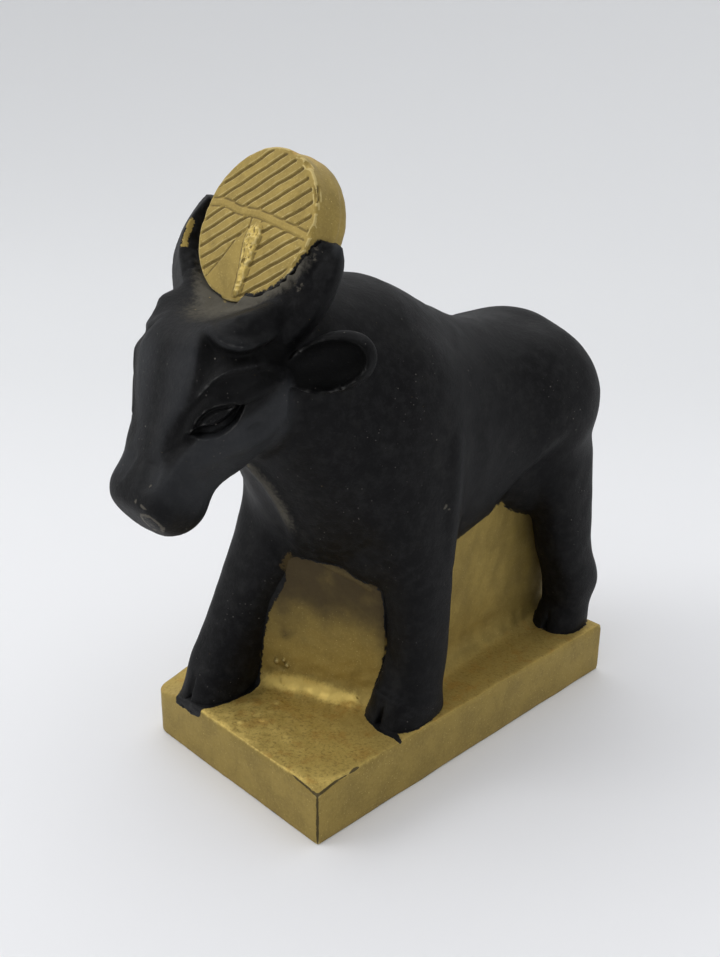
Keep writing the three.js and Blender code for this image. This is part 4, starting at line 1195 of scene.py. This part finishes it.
# %% Black
def black_coat(paint, place):
    patches = paint.cloud(place, 7, 3)
    pores = paint.cloud(place, 0.55, 4, 0.6)
    grain = paint.cloud(place, 0.16, 2)
    crest = paint.number("crest")
    worn = (crest + (pores - 0.5) * 0.3).rises(0.45, 1)
    scraped = (paint.number("scraped") + (pores - 0.5) * 1.2).rises(0.35, 0.6)
    dust = (paint.number("dust") + (pores - 0.5) * 0.9).rises(0.25, 0.95)
    speck = (flecks(paint, place, 1.1, 0.075) + flecks(paint, place, 0.6, 0.09)) * patches.rises(0.47, 0.6)
    smudges = paint.cloud(place, 4, 5, 0.65).rises(0.5, 0.8)
    mottle = paint.cloud(place, 1.6, 6, 0.75).rises(0.42, 0.7)
    # Lighter grey on the sides of the face, and painted highlights along the foreleg's ridge and the horn's edge.
    grey = paint.number("handled").rises(0, 1) * (0.5 + patches)
    # Painted shade: near-black in creases, in the eye socket and in the ear's hollow.
    hollow_shade = (crest.rises(-0.1, -0.4) * 0.8).at_least(paint.number("handled").rises(0, -0.6))
    colour = paint.mix(patches * 0.6 + pores * 0.4, shade(3, 3, 4), shade(15, 15, 16))
    colour = paint.mix(smudges * 0.17, colour, shade(66, 65, 62))
    colour = paint.mix(mottle * 0.15, colour, shade(70, 70, 70))
    colour = paint.mix(grey * 0.25, colour, shade(84, 86, 89))
    colour = paint.mix(hollow_shade * 0.9, colour, shade(1, 1, 1))
    colour = paint.mix(worn * 0.5, colour, shade(88, 87, 85))
    colour = paint.mix(dust * 0.8, colour, shade(98, 94, 84))
    colour = paint.mix(scraped * 0.5, colour, shade(112, 106, 94))
    colour = paint.mix(speck * 0.8, colour, shade(112, 108, 102))
    rough = (0.42 + patches * 0.14 + grain * 0.08 + mottle * 0.08 + dust * 0.35 + speck * 0.3).at_most(1)
    height = pores * 1.1 + grain * 0.4 + mottle * 0.5 + speck * 0.5
    return {"colour": colour, "rough": rough, "metal": 0.0, "height": height, "pores": pores}


def flecks(paint, place, spacing, size):
    """Small round spots in a few of the cells of a random pattern."""
    pattern = {"Vector": place, "Scale": 1 / spacing}
    away = paint.node("ShaderNodeTexVoronoi", {"feature": "F1"}, pattern)
    pick = paint.node("ShaderNodeTexVoronoi", {"feature": "F1"}, pattern, "Color")
    chance = paint.node("ShaderNodeSeparateColor", {}, {"Color": pick}, "Red")
    return away.rises(size * 1.8, size * 0.7) * chance.rises(0.6, 0.9)


# %% [markdown]
# ## Gold paint
#
# Bronze powder in lacquer: part metal, part brown varnish, laid on with a stiff brush.
# The strokes leave streaks and the powder gathers in lumps. The lumps and a few flecks
# are painted brighter as painted glints, faces that look up and the web's foot and
# upper edge get a painted highlight, and hollows and the web's front under the chest
# are painted dark brown as painted shade.

# %% Gold
def gold_coat(paint, place):
    patches = paint.cloud(place, 5, 3, 0.55)
    grain = paint.cloud(place, 0.5, 4, 0.7)
    powder = paint.cloud(place, 0.2, 3, 0.7)
    crest = paint.number("crest")
    # Faces that look up are painted brighter and yellower, a painted highlight; the warm patches and brown grain laid
    # on them are the paint's own.
    facing_up = paint.number("level").rises(0.7, 0.98)
    # Painted shade: the gold is darkened in grooves and hollows.
    sunk_shade = crest.rises(-0.2, -0.6)
    # Brighter gold: painted highlights along the web's foot and upper edge, and thick fresh paint elsewhere.
    fresh = (paint.number("fresh") + (grain - 0.5) * 0.8).rises(0.1, 0.9)
    # Painted shade under the chest: dark brown, with less metal.
    thin = (paint.number("thin") + (patches - 0.5) * 1.1).rises(0.05, 1)
    bare = (paint.number("bare") + (patches - 0.5) * 1.6 + (grain - 0.5) * 0.8).rises(0.4, 0.6)
    warm = paint.cloud(place, 2.6, 5, 0.65).rises(0.5, 0.66) * facing_up
    # Lumps of powder, painted brighter as painted glints.
    lump_glints = (powder * 0.55 + grain * 0.55).rises(0.58, 0.74)
    rubbed = (crest + (grain - 0.5) * 0.5).rises(0.3, 0.62)
    colour = paint.mix(patches.rises(0.3, 0.7), shade(147, 127, 70), shade(164, 142, 78))
    colour = paint.mix(grain.rises(0.5, 0.28) * 0.22, colour, shade(108, 92, 58))
    colour = paint.mix(facing_up * 0.6, colour, shade(196, 170, 96))
    colour = paint.mix(fresh * 0.75, colour, shade(226, 198, 112))
    colour = paint.mix(warm * 0.5, colour, shade(176, 134, 62))
    colour = paint.mix(grain.rises(0.5, 0.32) * facing_up * 0.4, colour, shade(112, 86, 42))
    colour = paint.mix(lump_glints * 0.35, colour, shade(205, 184, 118))
    # Small flecks painted bright as painted glints.
    colour = paint.mix(flecks(paint, place, 0.5, 0.1) * 0.6, colour, shade(236, 214, 140))
    colour = paint.mix(rubbed * 0.4, colour, shade(226, 208, 150))
    # Dark brown painted shade under the chest.
    colour = paint.mix(thin * 0.9, colour, shade(50, 40, 28))
    colour = paint.mix(sunk_shade * 0.6, colour, shade(74, 59, 34))
    colour = paint.mix(bare * 0.85, colour, shade(46, 39, 30))
    rough = 0.44 + (1 - powder) * 0.16 + (1 - grain) * 0.1 - fresh * 0.08
    height = grain * 0.7 + powder * 0.4
    metal = 0.6 - thin * 0.4 - bare * 0.2
    return {"colour": colour, "rough": rough, "metal": metal, "height": height, "pores": powder}


# %% [markdown]
# ## Where one paint runs over the other
#
# Both looks go into every material, and a mask picks between them. The masks start
# from the distance to the other paint and are broken up by noise, so that the gold
# creeps over the black here and there, and black runs out round the hooves.

# %% The two materials
BUMP_DEPTH = 0.09


def coated(name, under, over, mask, gloss):
    """Principled paint: one coat over the other, picked by the mask."""
    paint = Paint(bpy.data.materials.new(name))
    place = paint.place()
    first, second = under(paint, place), over(paint, place)
    cover = mask(paint, place, first["pores"])
    colour = paint.mix(cover, first["colour"], second["colour"])
    rough = paint.blend(cover, first["rough"], second["rough"])
    metal = paint.blend(cover, first["metal"], second["metal"])
    height = paint.blend(cover, first["height"], second["height"]) + cover * 0.8
    normal = paint.node("ShaderNodeBump", {}, {"Strength": 0.6, "Distance": BUMP_DEPTH * MM, "Height": height})
    shader = paint.node("ShaderNodeBsdfPrincipled", {}, {
        "Base Color": colour, "Roughness": rough, "Metallic": metal, "Normal": normal,
        "Specular IOR Level": gloss})
    paint.node("ShaderNodeOutputMaterial", {}, {"Surface": shader})
    return paint.owner


def stray_places(paint, place):
    """The few places, all above the hooves, where the gold brush slipped onto the black."""
    return paint.cloud(place, 4.5, 2).rises(0.58, 0.64) * paint.along(place, (0, 0, 1)).rises(13, 17)


def gold_over_black(paint, place, pores):
    wander = paint.cloud(place, 1.1, 3)
    creeping = (paint.number("to_other_paint") + (wander - 0.5) * 1.1).rises(0.3, 0.12)
    smeared = (paint.number("smear") + (paint.cloud(place, 0.6, 4, 0.75) - 0.5) * 2.4).rises(0.5, 0.66)
    powder = flecks(paint, place, 0.8, 0.09) * paint.number("dust").rises(0.45, 0.9)
    return (creeping * stray_places(paint, place)).at_least(smeared).at_least(powder)


def black_over_gold(paint, place, pores):
    wander = paint.cloud(place, 0.9, 4, 0.65)
    run_out = (paint.number("to_other_paint") + (wander - 0.5) * 0.8).rises(0.26, 0.14)
    return run_out * (1 - stray_places(paint, place))


black = coated("black_paint", black_coat, gold_coat, gold_over_black, 0.12)
gold = coated("gold_paint", gold_coat, black_coat, black_over_gold, 0.2)

for piece, material, slot in ((cow_piece, black, "black_paint"), (stand_piece, gold, "gold_paint"),
                              (disc_piece, gold, "gold_paint")):
    piece.data.materials.append(material)
    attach(piece, "root")
    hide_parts("figurine")

# %% [markdown]
# ## Table and light
#
# The figurine stands in a pale tent: the floor is flat far out and then sweeps up
# slowly, so that no horizon shows from any side. The room's light is dim on the side
# behind the camera, and the floor there is painted dark as painted shade, because the
# black paint shows its shape mostly by what it reflects. The floor is also painted a
# little darker away from the camera, as painted shade.

# %% Floor
FLAT_RADIUS = 500.0
SWEEP_RADIUS = 3000.0
FLOOR_EDGE = 3200.0


def make_floor():
    radii = [0, 60, 150, 300, *np.linspace(FLAT_RADIUS, FLOOR_EDGE, 28)]
    sides = 96
    angles = np.linspace(0, 2 * np.pi, sides, endpoint=False)
    work = bmesh.new()
    rows = []
    for radius in radii:
        height = SWEEP_RADIUS - np.sqrt(SWEEP_RADIUS ** 2 - max(radius - FLAT_RADIUS, 0) ** 2)
        ring = [(radius * np.cos(a) * MM, radius * np.sin(a) * MM, height * MM) for a in angles]
        rows.append([work.verts.new(p) for p in (ring if radius else ring[:1])])
    for k in range(sides):
        work.faces.new((rows[0][0], rows[1][k], rows[1][(k + 1) % sides]))
    for inner, outer in zip(rows[1:], rows[2:]):
        for k in range(sides):
            work.faces.new((inner[k], outer[k], outer[(k + 1) % sides], inner[(k + 1) % sides]))
    mesh = bpy.data.meshes.new("floor")
    work.to_mesh(mesh)
    work.free()
    mesh.shade_smooth()
    floor = bpy.data.objects.new("floor", mesh)
    bpy.context.scene.collection.objects.link(floor)
    return floor


CAMERA_AZIMUTH = np.radians(45.585)
toward_camera = Vector((np.sin(CAMERA_AZIMUTH), -np.cos(CAMERA_AZIMUTH), 0))
to_the_left = Vector((-np.cos(CAMERA_AZIMUTH), -np.sin(CAMERA_AZIMUTH), 0))


def floor_paint():
    paint = Paint(bpy.data.materials.new("floor_paint"))
    place = paint.place()
    forward = paint.along(place, toward_camera)
    # Painted shade: the floor is painted dark behind the camera, and a little darker away from it.
    behind_camera = forward.rises(100, 2400)
    far = forward.rises(60, -260)
    colour = paint.mix(far, (0.875, 0.875, 0.885, 1), (0.77, 0.775, 0.78, 1))
    colour = paint.mix(behind_camera, colour, (0.3, 0.3, 0.31, 1))
    shader = paint.node("ShaderNodeBsdfPrincipled", {}, {"Base Color": colour, "Roughness": 0.8,
                                                         "Specular IOR Level": 0.2})
    paint.node("ShaderNodeOutputMaterial", {}, {"Surface": shader})
    return paint.owner


floor = make_floor()
floor.data.materials.append(floor_paint())


# %% Lights
BRIGHT_SIDE = (Vector((0, 0, 0.85)) - 0.42 * toward_camera + 0.3 * to_the_left).normalized()
ROOM_LIGHT = 1.25


def room_light():
    paint = Paint(bpy.data.worlds.new("room"))
    way = paint.node("ShaderNodeTexCoord", output="Generated")
    glow = paint.along(way, BRIGHT_SIDE).rises(-0.15, 0.75)
    colour = paint.mix(glow, (0.012, 0.012, 0.013, 1), (0.97, 0.98, 1.0, 1))
    light = paint.node("ShaderNodeBackground", {}, {"Color": colour, "Strength": ROOM_LIGHT})
    paint.node("ShaderNodeOutputWorld", {}, {"Surface": light})
    return paint.owner


def soft_light(name, at, size, power, aim=(0, 0, 40)):
    lamp = bpy.data.lights.new(name, "AREA")
    lamp.shape = "DISK"
    lamp.size = size * MM
    lamp.energy = power
    light = bpy.data.objects.new(name, lamp)
    light.location = Vector(at) * MM
    light.rotation_euler = (Vector(aim) - Vector(at)).to_track_quat("-Z", "Y").to_euler()
    bpy.context.scene.collection.objects.link(light)


bpy.context.scene.world = room_light()
soft_light("left_window", 620 * to_the_left + 40 * toward_camera + Vector((0, 0, 520)), 420, 1.1)
bpy.context.scene.view_settings.view_transform = "Standard"

# %% [markdown]
# ## Camera
#
# The camera stands in front and to the animal's left, twenty degrees above the
# table. It was found by matching the corners of the base, whose right angles fix
# the view. The lens is long enough that the picture stays calm.

# %% Camera
CAMERA = {"elevation": np.radians(20.001), "distance": 173.672, "right": -4.859, "up": 37.62,
          "roll": np.radians(0.556), "lens": 50.0, "sensor": 36.0}


def make_camera():
    a, e = CAMERA_AZIMUTH, CAMERA["elevation"]
    back = Vector((np.sin(a) * np.cos(e), -np.cos(a) * np.cos(e), np.sin(e)))
    level_right = Vector((np.cos(a), np.sin(a), 0))
    level_up = back.cross(level_right)
    c, s = np.cos(CAMERA["roll"]), np.sin(CAMERA["roll"])
    right = level_right * c + level_up * s
    up = level_up * c - level_right * s
    at = (back * CAMERA["distance"] + right * CAMERA["right"] + up * CAMERA["up"]) * MM
    data = bpy.data.cameras.new("camera")
    data.sensor_fit = "HORIZONTAL"
    data.sensor_width = CAMERA["sensor"]
    data.lens = CAMERA["lens"]
    data.clip_start = 0.01
    camera = bpy.data.objects.new("camera", data)
    turn = Matrix((right, up, back)).transposed()
    camera.matrix_world = Matrix.Translation(at) @ turn.to_4x4()
    bpy.context.scene.collection.objects.link(camera)
    bpy.context.scene.camera = camera
    print(f"camera at {tuple(round(v / MM, 1) for v in at)} mm")


make_camera()
